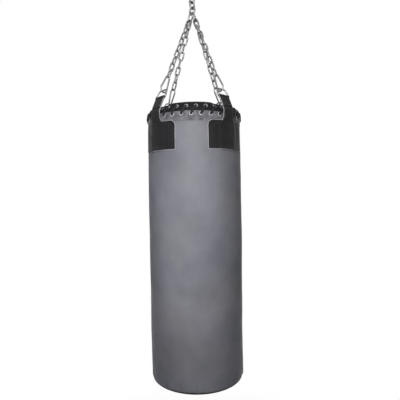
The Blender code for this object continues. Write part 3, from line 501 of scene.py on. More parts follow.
def merged(shapes):
    # several bmeshes as one
    whole = shapes[0]
    for one in shapes[1:]:
        mesh = bpy.data.meshes.new("part")
        one.to_mesh(mesh)
        one.free()
        whole.from_mesh(mesh)
        bpy.data.meshes.remove(mesh)
    return whole


def thicken(shape, wall):
    # the wall grows inwards from the faces
    bmesh.ops.solidify(shape, geom=shape.faces[:], thickness=wall)


def bevelled(shape, edges, offset, segments):
    bmesh.ops.bevel(
        shape, geom=edges, offset=offset, segments=segments, profile=0.5, affect="EDGES", material=-1
    )


def block(size, place, edge=0.0003):
    shape = bmesh.new()
    bmesh.ops.create_cube(shape, size=1)
    bmesh.ops.scale(shape, vec=size, verts=shape.verts)
    if edge:
        bevelled(shape, shape.edges[:], edge, 2)
    shape.transform(place)
    return shape


def rod(diameter, length, place, edge=0.0, sides=20):
    shape, radius = bmesh.new(), diameter / 2
    bmesh.ops.create_cone(shape, cap_ends=True, segments=sides, radius1=radius, radius2=radius, depth=length)
    if edge:
        rims = [e for e in shape.edges if abs(e.verts[0].co.z - e.verts[1].co.z) < 1e-6]
        bevelled(shape, rims, edge, 3)
    shape.transform(place)
    return shape


def turnedShape(profile, steps, closed=False):
    # profile of (radius, z), spun right round the axis
    shape = bmesh.new()
    verts = [shape.verts.new((r, 0, z)) for r, z in profile]
    edges = [shape.edges.new(pair) for pair in zip(verts, verts[1:])]
    if closed:
        edges.append(shape.edges.new((verts[-1], verts[0])))
    turn = {"cent": (0, 0, 0), "axis": (0, 0, 1), "angle": 2 * math.pi}
    bmesh.ops.spin(shape, geom=verts + edges, steps=steps, use_merge=True, **turn)
    bmesh.ops.remove_doubles(shape, verts=shape.verts, dist=0.000005)
    bmesh.ops.recalc_face_normals(shape, faces=shape.faces)
    return shape


def arcPoints(centre, radius, start, end, steps, fullness=2.0):
    # fullness above 2 pushes the arc out towards its corner
    points = []
    for i in range(steps + 1):
        turn = math.radians(mix(start, end, i / steps))
        reach = [math.copysign(abs(v) ** (2 / fullness), v) for v in (math.cos(turn), math.sin(turn))]
        points.append((centre[0] + radius * reach[0], centre[1] + radius * reach[1]))
    return points


def outwards(point):
    # the level direction from the axis to a point
    return Vector((point.x, point.y, 0)).normalized()


class Bender:
    # wire fed out along Y and bent in the XY plane, as on a bending bench
    def __init__(self, diameter, start, heading=0.0, sides=14):
        self.shape = bmesh.new()
        self.at = Vector((*start, 0))
        self.heading = heading
        turn = Matrix.Rotation(heading, 4, "Z") @ Matrix.Rotation(quarter, 4, "X")
        seat = Matrix.Translation(self.at) @ turn
        bmesh.ops.create_circle(self.shape, cap_ends=False, segments=sides, radius=diameter / 2, matrix=seat)
        self.ring = self.shape.edges[:]

    def feed(self, length, steps=1):
        for _ in range(steps):
            made = bmesh.ops.extrude_edge_only(self.shape, edges=self.ring)["geom"]
            verts = [item for item in made if isinstance(item, bmesh.types.BMVert)]
            edges = [item for item in made if isinstance(item, bmesh.types.BMEdge)]
            self.ring = [edge for edge in edges if edge.verts[0] in verts and edge.verts[1] in verts]
            moved = Vector((-math.sin(self.heading), math.cos(self.heading), 0)) * length / steps
            bmesh.ops.translate(self.shape, verts=verts, vec=moved)
            self.at += moved
        return self

    def swell(self, scale):
        for vert in {vert for edge in self.ring for vert in edge.verts}:
            vert.co = self.at + (vert.co - self.at) * scale
        return self

    def bend(self, radius, degrees, steps=8):
        # left for a positive angle; radius is to the wire's middle
        turn = math.radians(degrees)
        left = Vector((-math.cos(self.heading), -math.sin(self.heading), 0))
        centre = self.at + left * math.copysign(radius, turn)
        way = {"cent": centre, "axis": (0, 0, 1), "angle": turn, "steps": steps}
        made = bmesh.ops.spin(self.shape, geom=self.ring, use_duplicate=False, **way)["geom_last"]
        self.ring = [item for item in made if isinstance(item, bmesh.types.BMEdge)]
        self.at = centre + Matrix.Rotation(turn, 3, "Z") @ (self.at - centre)
        self.heading += turn
        return self

    def close(self):
        bmesh.ops.remove_doubles(self.shape, verts=self.shape.verts, dist=0.00002)
        return self.shape

    def cap(self):
        edges = [edge for edge in self.shape.edges if edge.is_boundary]
        bmesh.ops.holes_fill(self.shape, edges=edges, sides=0)
        return self.shape


weld = {"length": 0.0009, "inner": 1.10, "outer": 1.08}


def weldedLink(sizes, matrix, sides=14):
    # link bent shut and butt welded in the middle of one side
    radius = (sizes["width"] - sizes["wire"]) / 2
    straight = sizes["pitch"] + 2 * sizes["wire"] - sizes["width"]
    flash = min(weld["length"], straight / 6)
    bench = Bender(sizes["wire"], (-radius, -sizes["pitch"] / 2), sides=sides).swell(weld["inner"])
    bench.feed(flash).swell(weld["outer"]).feed(flash).feed(straight / 2 - 2 * flash)
    bench.bend(radius, -180, 10).feed(straight, 2).bend(radius, -180, 10)
    bench.feed(straight / 2 - 2 * flash).feed(flash).swell(weld["outer"]).feed(flash).swell(weld["inner"])
    shape = bench.close()
    shape.transform(matrix)
    return shape


swivel = {
    "eyeBore": 0.022,
    "eyeWire": 0.008,
    "stem": 0.010,
    "stemShowing": 0.004,
    "collar": (0.0068, 0.0074, 0.0070),  # radii from the top
    "collarSink": 0.001,
    "collarGap": 0.0006,
    "head": 0.018,
    "headHeight": 0.006,
    "headEdge": 0.0005,
    "headTaper": ((1.0, 0.0036), (0.9, 0.0048)),  # share of the radius, depth
    "headFoot": 0.66,
    "boss": 0.024,
    "bossHeight": 0.012,
    "bossEdge": 0.002,
    "bowWire": 0.007,
    "bowWidth": 0.036,
    "bowReach": 0.026,
    "bowShoulder": 0.008,
    "bowFillet": 0.0135,
    "bowLap": 0.0005,
}
strand = {"wire": 0.006, "pitch": 0.022, "width": 0.030, "turn": math.radians(38)}
yokeLink = {"wire": 0.005, "pitch": 0.030, "width": 0.028, "spread": 0.0033, "turn": math.radians(25)}
yokeSeatGap = 0.0007
leg = {"wire": 0.005, "pitch": 0.029, "width": 0.020, "links": 9, "bite": 0.0006}

bossTop = -swivel["eyeBore"] - swivel["eyeWire"] - swivel["stemShowing"]
bossFoot = bossTop - swivel["bossHeight"]
bossMiddle = bossTop - swivel["bossHeight"] / 2
bowSeat = bossFoot - swivel["bowReach"]
topSeats = [bowSeat - (strand["pitch"] - clearance) * i for i in range(4)]
apexAxis = around(-strand["turn"])
bowAxis = around(quarter - strand["turn"])


def eyePiece():
    ringRadius = (swivel["eyeBore"] + swivel["eyeWire"]) / 2
    ring = Bender(swivel["eyeWire"], (ringRadius, 0), sides=20).bend(ringRadius, 360, 40).close()
    ring.transform(frameAlong(up * (-swivel["eyeBore"] / 2), up, around(0)))
    stemTop = -swivel["eyeBore"] - swivel["eyeWire"] / 2
    headTop = bossFoot - clearance
    headFoot = headTop - swivel["headHeight"]
    stem, head, edge = swivel["stem"] / 2, swivel["head"] / 2, swivel["headEdge"]
    profile = [(0, stemTop), (stem, stemTop), (stem, headTop), (head - edge, headTop), (head, headTop - edge)]
    profile += [(head * share, headTop - depth) for share, depth in swivel["headTaper"]]
    profile += [(head * swivel["headFoot"], headFoot), (0, headFoot)]
    top, middle, foot = swivel["collar"]
    collarTop, collarFoot = stemTop + swivel["collarSink"], bossTop + swivel["collarGap"]
    collar = [(0, collarTop), (top, collarTop), (middle, stemTop - edge), (foot, collarFoot), (0, collarFoot)]
    shape = booleaned("UNION", ring, turnedShape(profile, 40), turnedShape(collar, 40))
    steelPiece("swivelEye", shape, "hanger", "swivel_eye", 35)


def bowPiece():
    half = (swivel["bowWidth"] - swivel["bowWire"]) / 2
    foot = bowSeat - (clearance + swivel["bowWire"]) / 2 - bossMiddle
    shoulder, fillet, lap = swivel["bowShoulder"], swivel["bowFillet"], swivel["bowLap"]
    bench = Bender(swivel["bowWire"], (-half, -shoulder - lap), heading=math.pi, sides=18)
    bench.feed(-foot - shoulder - fillet - lap, 2).bend(fillet, 90, 10)
    bench.feed(2 * (half - fillet), 1).bend(fillet, 90, 10)
    bench.feed(-foot - shoulder - fillet, 2).bend(shoulder, 90, 8)
    bench.feed(2 * (half - shoulder), 2).bend(shoulder, 90, 8)
    bow = bench.feed(lap).close()
    bow.transform(frameAlong(up * bossMiddle, up, bowAxis))
    rim, edge = swivel["boss"] / 2, swivel["bossEdge"]
    steps = arcPoints((rim - edge, bossTop - edge), edge, 90, 0, 5)
    steps += arcPoints((rim - edge, bossFoot + edge), edge, 0, -90, 5)
    boss = turnedShape([(0, bossTop), *steps, (0, bossFoot)], 40)
    bore = swivel["stem"] / 2 + clearance
    above, below = bossTop + 0.01, bossFoot - 0.01
    drill = turnedShape([(0, above), (bore, above), (bore, below), (0, below)], 40)
    shape = booleaned("DIFFERENCE", booleaned("UNION", bow, boss), drill)
    steelPiece("swivelBow", shape, "bow", "swivel_bow", 35)


eyePiece()
bowPiece()
strandLinks = (
    ("upperStrandLink", "top_link_upper", "upper_link"),
    ("middleStrandLink", "top_link_middle", "middle_link"),
    ("apexLink", "apex_link", "apex"),
)
for index, (name, node, body) in enumerate(strandLinks):
    wireZ = topSeats[index] + (clearance + strand["wire"]) / 2
    place = frameAlong(up * wireZ, up, around(-strand["turn"] + quarter * (index % 2)))
    steelPiece(name, weldedLink(strand, place, 16), body, node)
print("Swivel and strand made")


hook = {
    "wire": 0.006,
    "inner": 0.061,
    "narrow": 0.0042,
    "wide": 0.0105,
    "pivotDrop": 0.0055,
    "noseRise": 0.0035,
    "shoulder": 0.0040,
    "tongueLength": 0.0042,
    "tongueHeight": 0.0042,
    "tongueThick": 0.0024,
    "tongueRoot": 0.002,
    "slot": 0.0031,
    "gate": 0.0064,
    "gateHeel": 0.0021,
    "gateEdge": 0.0006,
    "rivet": 0.0020,
    "rivetPast": 0.0004,  # longer than the gate is thick
    "rivetHead": 0.0034,
    "headPast": 0.0012,
    "headEdge": 0.0005,
    "core": 0.0050,  # cut out between the two heads
    "corePast": 0.0002,
    "bore": 0.0026,
}
dRing = {
    "wire": 0.005,
    "foot": 0.054,
    "top": 0.034,
    "height": 0.0275,
    "footFillet": 0.0035,
    "topFillet": 0.010,
    "weld": 0.001,
    "weldSwell": 1.06,
}


def yokePlace(side):
    # the yoke's frame, as it lies on one slope of the apex link's bend
    bend = topSeats[-1] - clearance / 2 + strand["width"] / 2 - strand["wire"]
    seat = strand["width"] / 2 - strand["wire"] - yokeSeatGap - yokeLink["wire"] / 2
    slope = math.asin(yokeLink["spread"] / seat)
    centre = up * bend + apexAxis * side * yokeLink["spread"] - up * seat * math.cos(slope)
    aim = Vector((side * strapAtCorner * math.cos(legAngles["back_right"]), 0, cornerZ))
    rise = Vector((centre.x - aim.x, 0, centre.z - aim.z))
    across = Vector((math.sin(yokeLink["turn"]), math.cos(yokeLink["turn"]), 0))
    return frameAlong(centre, rise, across)


# every other joint of the chain bites, so that its two links are one node
linkGaps = [-leg["bite"] if i % 2 and i < leg["links"] else clearance for i in range(leg["links"] + 1)]
linkSteps = [leg["pitch"] - (a + b) / 2 for a, b in zip(linkGaps, linkGaps[1:])]
chainLength = sum(linkSteps)
barDistance = chainLength + hook["inner"] - clearance + dRing["height"] - clearance / 2


class Leg:
    # one leg's line, read off its hook's joint
    def __init__(self, name):
        joint = joints["hook_turn_" + name]
        self.name = name
        self.angle = legAngles[name]
        self.radial = around(self.angle)
        self.down = -Vector(joint["axis"]).normalized()
        self.seat = Vector(joint["pos_m"]) - self.down * chainLength
        self.corner = around(self.angle, strapAtCorner, cornerZ)
        place = frameAlong(self.seat, -self.down, around(self.angle + quarter)).to_3x3()
        self.tangent = place.col[0].copy()
        self.outward = place.col[2].copy()
        if self.outward.dot(self.radial) < 0:
            self.outward.negate()
        self.free = (self.corner - self.seat).length - barDistance
        self.merge = self.free - strap["loopTaper"]  # where the strap's plies part round the ring

    def at(self, distance):
        return self.seat + self.down * distance

    def lateral(self, degrees):
        turn = math.radians(degrees)
        return self.tangent * math.cos(turn) + self.outward * math.sin(turn)

    def chainTwist(self):
        # turn of the first link, which hangs in its yoke
        across = yokePlace(1 if self.radial.x > 0 else -1).to_3x3().col[0]
        wanted = across.cross(self.down)
        twist = math.degrees(math.atan2(wanted.dot(self.outward), wanted.dot(self.tangent)))
        return (twist + 90) % 180 - 90

    def hookPlace(self):
        # near hooks hang with the wide end down, far ones the other way up
        if self.name.startswith("front"):
            return frameAlong(self.at(chainLength - clearance / 2), -self.down, self.outward)
        foot = chainLength + hook["inner"] - clearance
        return frameAlong(self.at(foot + clearance / 2), self.down, self.outward)


def chainPieces(line):
    twist, last = line.chainTwist(), leg["links"] - 1
    distance = 0.0
    shapes = []
    for index, step in enumerate(linkSteps):
        degrees = (90 + twist / last) * (last - index)
        wireCentre = line.at(distance - (linkGaps[index] + leg["wire"]) / 2)
        shapes.append(weldedLink(leg, frameAlong(wireCentre, -line.down, line.lateral(degrees))))
        distance += step
    for number in range(1, leg["links"] // 2 + 2):
        shape = merged(shapes[2 * number - 2 : 2 * number])
        steelPiece(f"links_{line.name}_{number}", shape, "bag", f"chain_{line.name}_{number}")


def hookPieces(line):
    # in the hook's own frame the gate runs along the straight side, from pivot to nose
    narrow, wide = hook["narrow"] + hook["wire"] / 2, hook["wide"] + hook["wire"] / 2
    narrowAt = Vector((0, -hook["narrow"], 0))
    wideAt = Vector((0, -hook["inner"] + hook["wide"], 0))
    slant = math.asin((wide - narrow) / (narrowAt - wideAt).length)
    normal = Vector((math.cos(slant), math.sin(slant), 0))
    along = Vector((math.sin(slant), -math.cos(slant), 0))
    pivot = narrowAt + normal * narrow + along * hook["pivotDrop"]
    nose = wideAt + normal * wide - along * hook["noseRise"]
    spine = (narrowAt - wideAt).length * math.cos(slant)
    slantDegrees = math.degrees(slant)

    start = pivot - along * hook["shoulder"]
    bench = Bender(hook["wire"], (start.x, start.y), heading=slant, sides=16)
    bench.feed(hook["pivotDrop"] - hook["shoulder"]).bend(narrow, 180 - 2 * slantDegrees, 12)
    bench.feed(spine, 6).bend(wide, 180 + 2 * slantDegrees, 16).feed(hook["noseRise"])
    shape = bench.cap()
    turn = Matrix((Vector((-along.y, along.x, 0)), -along, up)).transposed().to_4x4()
    atPivot = Matrix.Translation(pivot) @ turn
    atNose = Matrix.Translation(nose) @ turn
    root = hook["tongueRoot"]
    heel = hook["shoulder"] + hook["gateHeel"] + root
    tongues = (
        (atPivot @ Matrix.Translation((0, hook["shoulder"] + root - heel / 2, 0)), heel),
        (atNose @ Matrix.Translation((0, (hook["tongueLength"] - root) / 2, 0)), hook["tongueLength"] + root),
    )
    added = [block((hook["tongueHeight"], long, hook["tongueThick"]), where) for where, long in tongues]
    thick, place = hook["gate"], line.hookPlace()
    added.append(rod(hook["rivet"], thick + hook["rivetPast"], atPivot))
    shape = booleaned("UNION", shape, *added)
    heads = rod(hook["rivetHead"], thick + hook["headPast"], atPivot, hook["headEdge"])
    heads = booleaned("DIFFERENCE", heads, rod(hook["core"], thick + hook["corePast"], atPivot))
    shape.transform(place)
    steelPiece(f"hook_{line.name}", shape, f"hook_{line.name}", f"snap_hook_{line.name}", 35)

    length = (nose - pivot).length - clearance + hook["gateHeel"]
    middle = atPivot @ Matrix.Translation((0, hook["gateHeel"] - length / 2, 0))
    gate = rod(thick, length, middle @ Matrix.Rotation(quarter, 4, "X"), hook["gateEdge"], 24)
    slots = ((atPivot, hook["gateHeel"]), (atNose, hook["tongueLength"]))
    cut = [block((2 * thick, 2 * (deep + 2 * clearance), hook["slot"]), where, 0.0) for where, deep in slots]
    gate = booleaned("DIFFERENCE", gate, *cut, rod(hook["bore"], 2 * thick, atPivot))
    gate = merged([gate, heads])
    gate.transform(place)
    steelPiece(f"gate_{line.name}", gate, f"gate_{line.name}", f"hook_gate_{line.name}", 35)


def ringPiece(line):
    # D-shaped ring, its bar in the strap's loop and its ends butt welded in the bar
    halfFoot = (dRing["foot"] + dRing["wire"]) / 2
    halfTop = (dRing["top"] + dRing["wire"]) / 2
    height = dRing["height"] + dRing["wire"] / 2
    lean = math.atan2(halfFoot - halfTop, height)
    footTurn, topTurn = math.degrees(quarter + lean), math.degrees(quarter - lean)
    footCut = dRing["footFillet"] * math.tan((quarter + lean) / 2)
    topCut = dRing["topFillet"] * math.tan((quarter - lean) / 2)
    side = math.hypot(halfFoot - halfTop, height) - footCut - topCut
    halfBar = halfFoot - footCut - dRing["weld"]
    bench = Bender(dRing["wire"], (0, 0), heading=-quarter).swell(dRing["weldSwell"])
    bench.feed(dRing["weld"]).feed(halfBar, 2).bend(dRing["footFillet"], footTurn, 6)
    bench.feed(side, 3).bend(dRing["topFillet"], topTurn, 8)
    bench.feed(2 * (halfTop - topCut), 2).bend(dRing["topFillet"], topTurn, 8)
    bench.feed(side, 3).bend(dRing["footFillet"], footTurn, 6)
    bench.feed(halfBar, 2).feed(dRing["weld"]).swell(dRing["weldSwell"])
    shape = bench.close()
    shape.transform(frameAlong(line.at(barDistance), -line.down, line.tangent))
    steelPiece(f"ring_{line.name}", shape, "bag", f"d_ring_{line.name}")


for side, name in ((1, "right"), (-1, "left")):
    steelPiece(f"yoke_{name}", weldedLink(yokeLink, yokePlace(side), 16), "bag", f"yoke_link_{name}")
lines = [Leg(name) for name in legAngles]
for line in lines:
    chainPieces(line)
    hookPieces(line)
    ringPiece(line)
print("Sling made")


stitch = {"pitch": 0.0042, "width": 0.0010, "height": 0.0008, "fill": 0.42, "hemSink": 0.0002}


def spacedOut(start, end, pitch=stitch["pitch"]):
    # evenly spaced spots from one pair of numbers to another
    count = max(2, round(math.hypot(end[0] - start[0], end[1] - start[1]) / pitch))
    return [(mix(start[0], end[0], i / count), mix(start[1], end[1], i / count)) for i in range(count + 1)]


def stitchPiece(name, rows, place, finish, size=stitch):
    # rows of thread stitches; place gives a spot's point at a height over its surface
    shape = bmesh.new()
    for row in rows:
        for first, second in zip(row, row[1:]):
            start, end = place(*first, 0.0), place(*second, 0.0)
            way = end - start
            out = (place(*first, 0.001) - start).normalized()
            half = (size["width"] / 2, way.length * size["fill"], size["height"] / 2, 1)
            seat = frameAlong((start + end) / 2, way, out.cross(way)) @ Matrix.Diagonal(half)
            bmesh.ops.create_icosphere(shape, subdivisions=1, radius=1, matrix=seat)
    finishPiece(name, shape, finish, "bag", smoothBelow=180)


def strapPoint(line, along, offset, across):
    # on the bag below the corner, on the leg's line above it
    z = cornerZ + along
    radius = strapRadius(z) + offset
    onBag = around(line.angle + across / radius, radius, z)
    inAir = line.corner - line.down * along + line.tangent * across + line.outward * offset
    return onBag.lerp(inAir, smoothstep(along / (2 * strap["bendReach"]) + 0.5))


def plyPath(line):
    # middle of the long ply: up inside, round the ring's bar, down outside
    steps, half = strap["steps"], strap["ply"] / 2
    radius = dRing["wire"] / 2 + strap["loopGap"] + half
    rise = [mix(-strap["tail"], line.merge, i / steps) for i in range(steps + 1)]
    loop = [(line.free + y, x) for x, y in arcPoints((0, 0), radius, 205, -25, 22)]
    return [(along, -half) for along in rise] + loop + [(along, half) for along in reversed(rise)]


def sheet(columns, rows, place):
    # grid whose points lie where place puts each x and y from -1 to 1
    shape = bmesh.new()
    bmesh.ops.create_grid(shape, x_segments=columns, y_segments=rows, size=1)
    for vert in shape.verts:
        vert.co = place(vert.co.x, vert.co.y)
    bmesh.ops.recalc_face_normals(shape, faces=shape.faces)
    return shape


def ribbon(line, path, width, thickness):
    # flat band along a path of (along, offset)
    last = len(path) - 1

    def place(x, y):
        return strapPoint(line, *path[round((x + 1) / 2 * last)], y * width / 2)

    shape = sheet(last, 10, place)
    shape.normal_update()
    for vert in shape.verts:
        vert.co += vert.normal * thickness / 2
    thicken(shape, thickness)
    return shape


def strapPiece(line):
    # black on its faces and pale on its cut edges
    lapTop, lapMiddle = line.merge + strap["lapPastMerge"], strap["ply"] + strap["lapPly"] / 2
    lapPath = [(mix(lapTop, strap["lapStart"], i / 16), lapMiddle) for i in range(17)]
    plies = ribbon(line, plyPath(line), strap["width"], strap["ply"])
    lap = ribbon(line, lapPath, strap["width"] - 2 * strap["lapInset"], strap["lapPly"])
    whole = merged([plies, lap])
    bmesh.ops.recalc_face_normals(whole, faces=whole.faces)
    for face in whole.faces:
        middle = face.calc_center_median()
        onBag = around(math.atan2(middle.y, middle.x) + quarter)
        tangent = line.tangent if middle.z > cornerZ else onBag
        if abs(face.normal.dot(tangent)) > 0.8:
            face.material_index = 1
    looks = ["blackLeather", "cutEdge"]
    finishPiece(f"strap_{line.name}_webbing", whole, looks, "bag", [f"strap_{line.name}"], 50)


strapSeams = {
    "inset": 0.0038,
    "apart": 0.0034,
    "underPatch": 0.002,
    "loopGap": 0.001,
    "lapGap": 0.003,
    "boxGap": 0.0015,
    "lapRise": (0.001, 0.002),  # from how far before the lap's end, and over what length
}


def strapStitches(line):
    # two rows near each edge, and a crossed box over the lapped end
    edge = strap["width"] / 2 - strapSeams["inset"]
    inner = edge - strapSeams["apart"]
    foot = -patch["top"] - strap["bendHeight"] + strapSeams["underPatch"]
    top, boxTop = line.merge - strapSeams["loopGap"], line.merge - strapSeams["boxGap"]
    lapRow = strap["lapStart"] + strapSeams["lapGap"]
    boxFoot = lapRow + strapSeams["lapGap"]
    rows = [spacedOut((foot, x), (top, x)) for x in (-edge, -inner, edge, inner)]
    rows += [spacedOut((along, -inner), (along, inner)) for along in (lapRow, boxFoot, boxTop)]
    rows += [spacedOut((boxFoot, -one), (boxTop, one)) for one in (-inner, inner)]

    def place(along, across, height):
        before, length = strapSeams["lapRise"]
        lap = strap["lapPly"] * smoothstep((along - strap["lapStart"] + before) / length)
        return strapPoint(line, along, strap["ply"] + lap + height, across)

    stitchPiece(f"strapStitches_{line.name}", rows, place, "blackThread")


for line in lines:
    strapPiece(line)
print("Straps made")


patch = {
    "width": 0.158,
    "height": 0.098,
    "top": 0.031,
    "corner": 0.018,
    "wall": 0.0020,
    "seat": 0.0011,
    "margin": 0.001,
    "fade": 0.024,
    "underlay": 0.0021,
    "underlayWall": 0.0010,
    "underlaySeat": 0.0002,
    "underlayDrop": 0.006,
    "columns": 56,
    "rows": 30,
    "cornerColumns": 0.28,  # share of the columns that turn the two top corners
    "cornerMost": 0.97,
    "dropMargin": 0.0015,
}


def patchPoint(line, across, z, lift):
    # over the strap's tail the patch stands off, and sinks back beside it
    beyond = abs(across) - strap["width"] / 2 - patch["margin"]
    standOff = (2 * strap["ply"] + clearance) * (1 - smoothstep(beyond / patch["fade"]))
    return around(line.angle + across / shellRadius(z), shellRadius(z) + lift + standOff, z)


def patchLayer(line, grow, lift, wall, dropUnderStrap=0.0):
    half, corner = patch["width"] / 2 + grow, patch["corner"] + grow
    straight = 1 - patch["cornerColumns"]
    top, foot = rimZ - patch["top"] + grow, rimZ - patch["top"] - patch["height"] - grow

    def place(x, y):
        turn = max((abs(x) - straight) / patch["cornerColumns"] * quarter, 0)
        run = min(abs(x) / straight, 1) * (half - corner) + corner * math.sin(turn)
        edge = top - min(corner * (1 - math.cos(turn)), corner * patch["cornerMost"])
        if run < strap["width"] / 2 + patch["dropMargin"]:
            edge -= dropUnderStrap
        return patchPoint(line, math.copysign(run, x), mix(foot, edge, (y + 1) / 2), lift + wall)

    shape = sheet(patch["columns"], patch["rows"], place)
    if shape.faces[:][0].normal.dot(line.radial) < 0:
        bmesh.ops.reverse_faces(shape, faces=shape.faces)
    thicken(shape, wall)
    return shape


def patchPieces(line):
    under = patchLayer(
        line, patch["underlay"], patch["underlaySeat"], patch["underlayWall"], patch["underlayDrop"]
    )
    over = patchLayer(line, 0.0, patch["seat"], patch["wall"])
    node = f"patch_{line.name}"
    finishPiece(f"{node}_backing", under, "cutEdge", "bag", [node], 40)
    finishPiece(f"{node}_leather", over, "blackLeather", "bag", [node], 40)


for line in lines:
    patchPieces(line)
print("Patches made")


shellSizes = {
    "around": 224,
    "rows": 80,
    "footRows": 34,
    "footReach": 0.15,
    "topDepth": 0.028,
    "wall": 0.002,
    "dents": ((0.16, 3.0, 0.0020), (0.05, 9.0, 0.0005)),  # size, seed and height
    "calmTop": (0.03, 0.12),  # where it ends, and its fade
    "footFold": 0.004,
    "footFoldTop": (0.012, 0.05),
    "footFolds": (5.5, 14),  # how many round the bag and up it
    "tuck": 0.0014,  # under the hem band
    "tuckFade": 0.006,
    "inset": 0.0003,
}
baseSizes = {
    "sag": 0.0045,
    "seamAngle": 57,
    "piping": 0.0032,
    "pipingOut": 0.0005,
    "fullness": 2.8,
    "wall": 0.003,
    "rings": 28,
    "ripple": (0.06, 5.0, 0.0008),
}
footCentre = (bag["footRadius"] - bag["corner"], baseZ + bag["corner"])


def shellDent(point):
    # broad dents of a packed bag, with short folds where the foot is drawn under
    (calm, calmFade), (low, lowFade) = shellSizes["calmTop"], shellSizes["footFoldTop"]
    settle = smoothstep((rimZ - point.z - calm) / calmFade)
    foot = 1 - smoothstep((point.z - baseZ - low) / lowFade)
    across, upwards = shellSizes["footFolds"]
    fold = noise.noise(around(math.atan2(point.y, point.x), across, point.z * upwards))
    return waves(point, *shellSizes["dents"]) * settle - foot * max(fold, 0) ** 1.3 * shellSizes["footFold"]


def shellPiece():
    rows, footRows = shellSizes["rows"], shellSizes["footRows"]
    top, turning = rimZ - shellSizes["topDepth"], footCentre[1] + shellSizes["footReach"]
    levels = [mix(top, turning, i / rows) for i in range(rows)]
    levels += [mix(turning, footCentre[1], i / footRows) for i in range(footRows)]
    profile = [(shellRadius(z), z) for z in levels]
    profile += arcPoints(footCentre, bag["corner"], 0, -baseSizes["seamAngle"], 12, baseSizes["fullness"])
    shape = turnedShape(profile, shellSizes["around"])
    for vert in shape.verts:
        belowBand = rimZ - vert.co.z - bag["bandHeight"]
        tuck = shellSizes["tuck"] * (1 - smoothstep(belowBand / shellSizes["tuckFade"] + 0.5))
        vert.co += outwards(vert.co) * (shellDent(vert.co) - shellSizes["inset"] - tuck)
    thicken(shape, shellSizes["wall"])
    return finishPiece("shellLeather", shape, "greyLeather", "bag", ["outer_shell"])


shell = shellPiece()


def basePieces():
    seam = arcPoints(footCentre, bag["corner"], -baseSizes["seamAngle"], -90, 6, baseSizes["fullness"])
    flatRadius, rings = seam[-1][0], baseSizes["rings"]
    shares = [1 - i / rings for i in range(1, rings + 1)]
    profile = seam + [(flatRadius * s, baseZ - baseSizes["sag"] * (1 - s**2)) for s in shares]
    shape = turnedShape(profile, 96)
    for vert in shape.verts:
        vert.co.z += waves(vert.co, baseSizes["ripple"])
    thicken(shape, baseSizes["wall"])
    base = finishPiece("baseLeather", shape, "blackLeather", "bag", ["base_panel"])
    out = baseSizes["pipingOut"]
    loop = arcPoints((seam[0][0] + out, seam[0][1] - out), baseSizes["piping"] / 2, 0, 330, 11)
    piping = turnedShape(loop, 128, closed=True)
    finishPiece("basePiping", piping, "blackLeather", "bag")


basePieces()

hem = {
    "edge": 0.0012,
    "innerTop": 0.002,
    "outerTop": 0.001,
    "outerShort": 0.0015,  # how much less high than the inner side
    "pull": 0.0006,
    "seams": (0.021, 0.026),
    "seamWidth": 0.0016,
    "seamDepth": 0.0004,
    "crumples": ((0.013, 2.0, 0.0009), (0.03, 6.0, 0.0007)),
    "calmBeside": 0.15,  # radians from a strap, whose press flattens the crumples
    "calm": 0.25,
}


def bandPiece():
    radius, edge, height = bag["bandRadius"], hem["edge"], bag["bandHeight"]
    inner = radius - bag["bandWall"]
    profile = [(inner, rimZ - height), (inner, rimZ - hem["innerTop"])]
    profile += arcPoints((radius - edge, rimZ - edge), edge, 180, 0, 6)[1:]
    top, side = rimZ - hem["outerTop"], height - hem["outerShort"]
    profile += [(radius, top - side * i / 20) for i in range(1, 21)]
    shape = turnedShape(profile, 256, closed=True)
    for vert in shape.verts:
        if math.hypot(vert.co.x, vert.co.y) < radius - bag["bandWall"] * 0.6:
            continue
        angle = math.atan2(vert.co.y, vert.co.x)
        depth, phase = rimZ - vert.co.z, eyeletPhase(angle, 0.5)
        offRow = depth - bag["lowerRow"]
        pull = bell(phase * 3.2, offRow / 0.008) * hem["pull"]
        seam = sum(bell((depth - one) / hem["seamWidth"]) for one in hem["seams"]) * hem["seamDepth"]
        calm = hem["calm"] if nearestStrap(angle) < hem["calmBeside"] else 1.0
        calm *= 1 - underEyelet(phase, offRow)
        vert.co += outwards(vert.co) * (waves(vert.co, *hem["crumples"]) * calm - pull - seam * calm)
    finishPiece("hemBand", shape, "hemLeather", "bag", ["top_band"])


lidSizes = {
    "wall": 0.0024,
    "sideRings": 30,
    "topRings": 24,
    "around": 192,
    "pull": 0.0007,
    "middle": 0.004,
    "doming": 0.7,
    "crumples": ((0.03, 4.0, 0.0009), (0.09, 1.0, 0.0012)),
    "slack": (0.07, 8.0, 0.0016),
    "calmMiddle": (0.09, 0.05),  # its radius and its fade
    "pressHalf": math.radians(10.5),  # under a strap
    "pressFade": math.radians(11),
}
pinch = {"slope": 0.45, "reach": 0.006, "most": 0.0045, "until": 0.026, "fade": 0.010}
legLean = math.hypot(lines[0].down.x, lines[0].down.y) / -lines[0].down.z


def lidProfile(height):
    share = min(max(height / bag["lidHeight"], 0), 1) ** bag["lidPower"]
    return bag["lidFlat"] + (bag["lidRadius"] - bag["lidFlat"]) * (1 - share) ** (1 / bag["lidPower"])


def lidDrawnIn(angle, height):
    # a strap presses the lid in along its leg's lean
    under = 1 - smoothstep((nearestStrap(angle) - lidSizes["pressHalf"]) / lidSizes["pressFade"])
    drop = bag["lidRadius"] - bag["bandRadius"] + max(height - strap["bendHeight"], 0) * legLean
    return under * drop * smoothstep(height / strap["bendHeight"])


def lidPinched(angle, height):
    # the lace pulls each eyelet's upper rim in, so that it looks up
    rise = min(max(height - bag["upperRow"] + pinch["reach"], 0) * pinch["slope"], pinch["most"])
    over = 1 - smoothstep((height - pinch["until"]) / pinch["fade"])
    return rise * over * bell(eyeletPhase(angle) * 2.3, power=4)


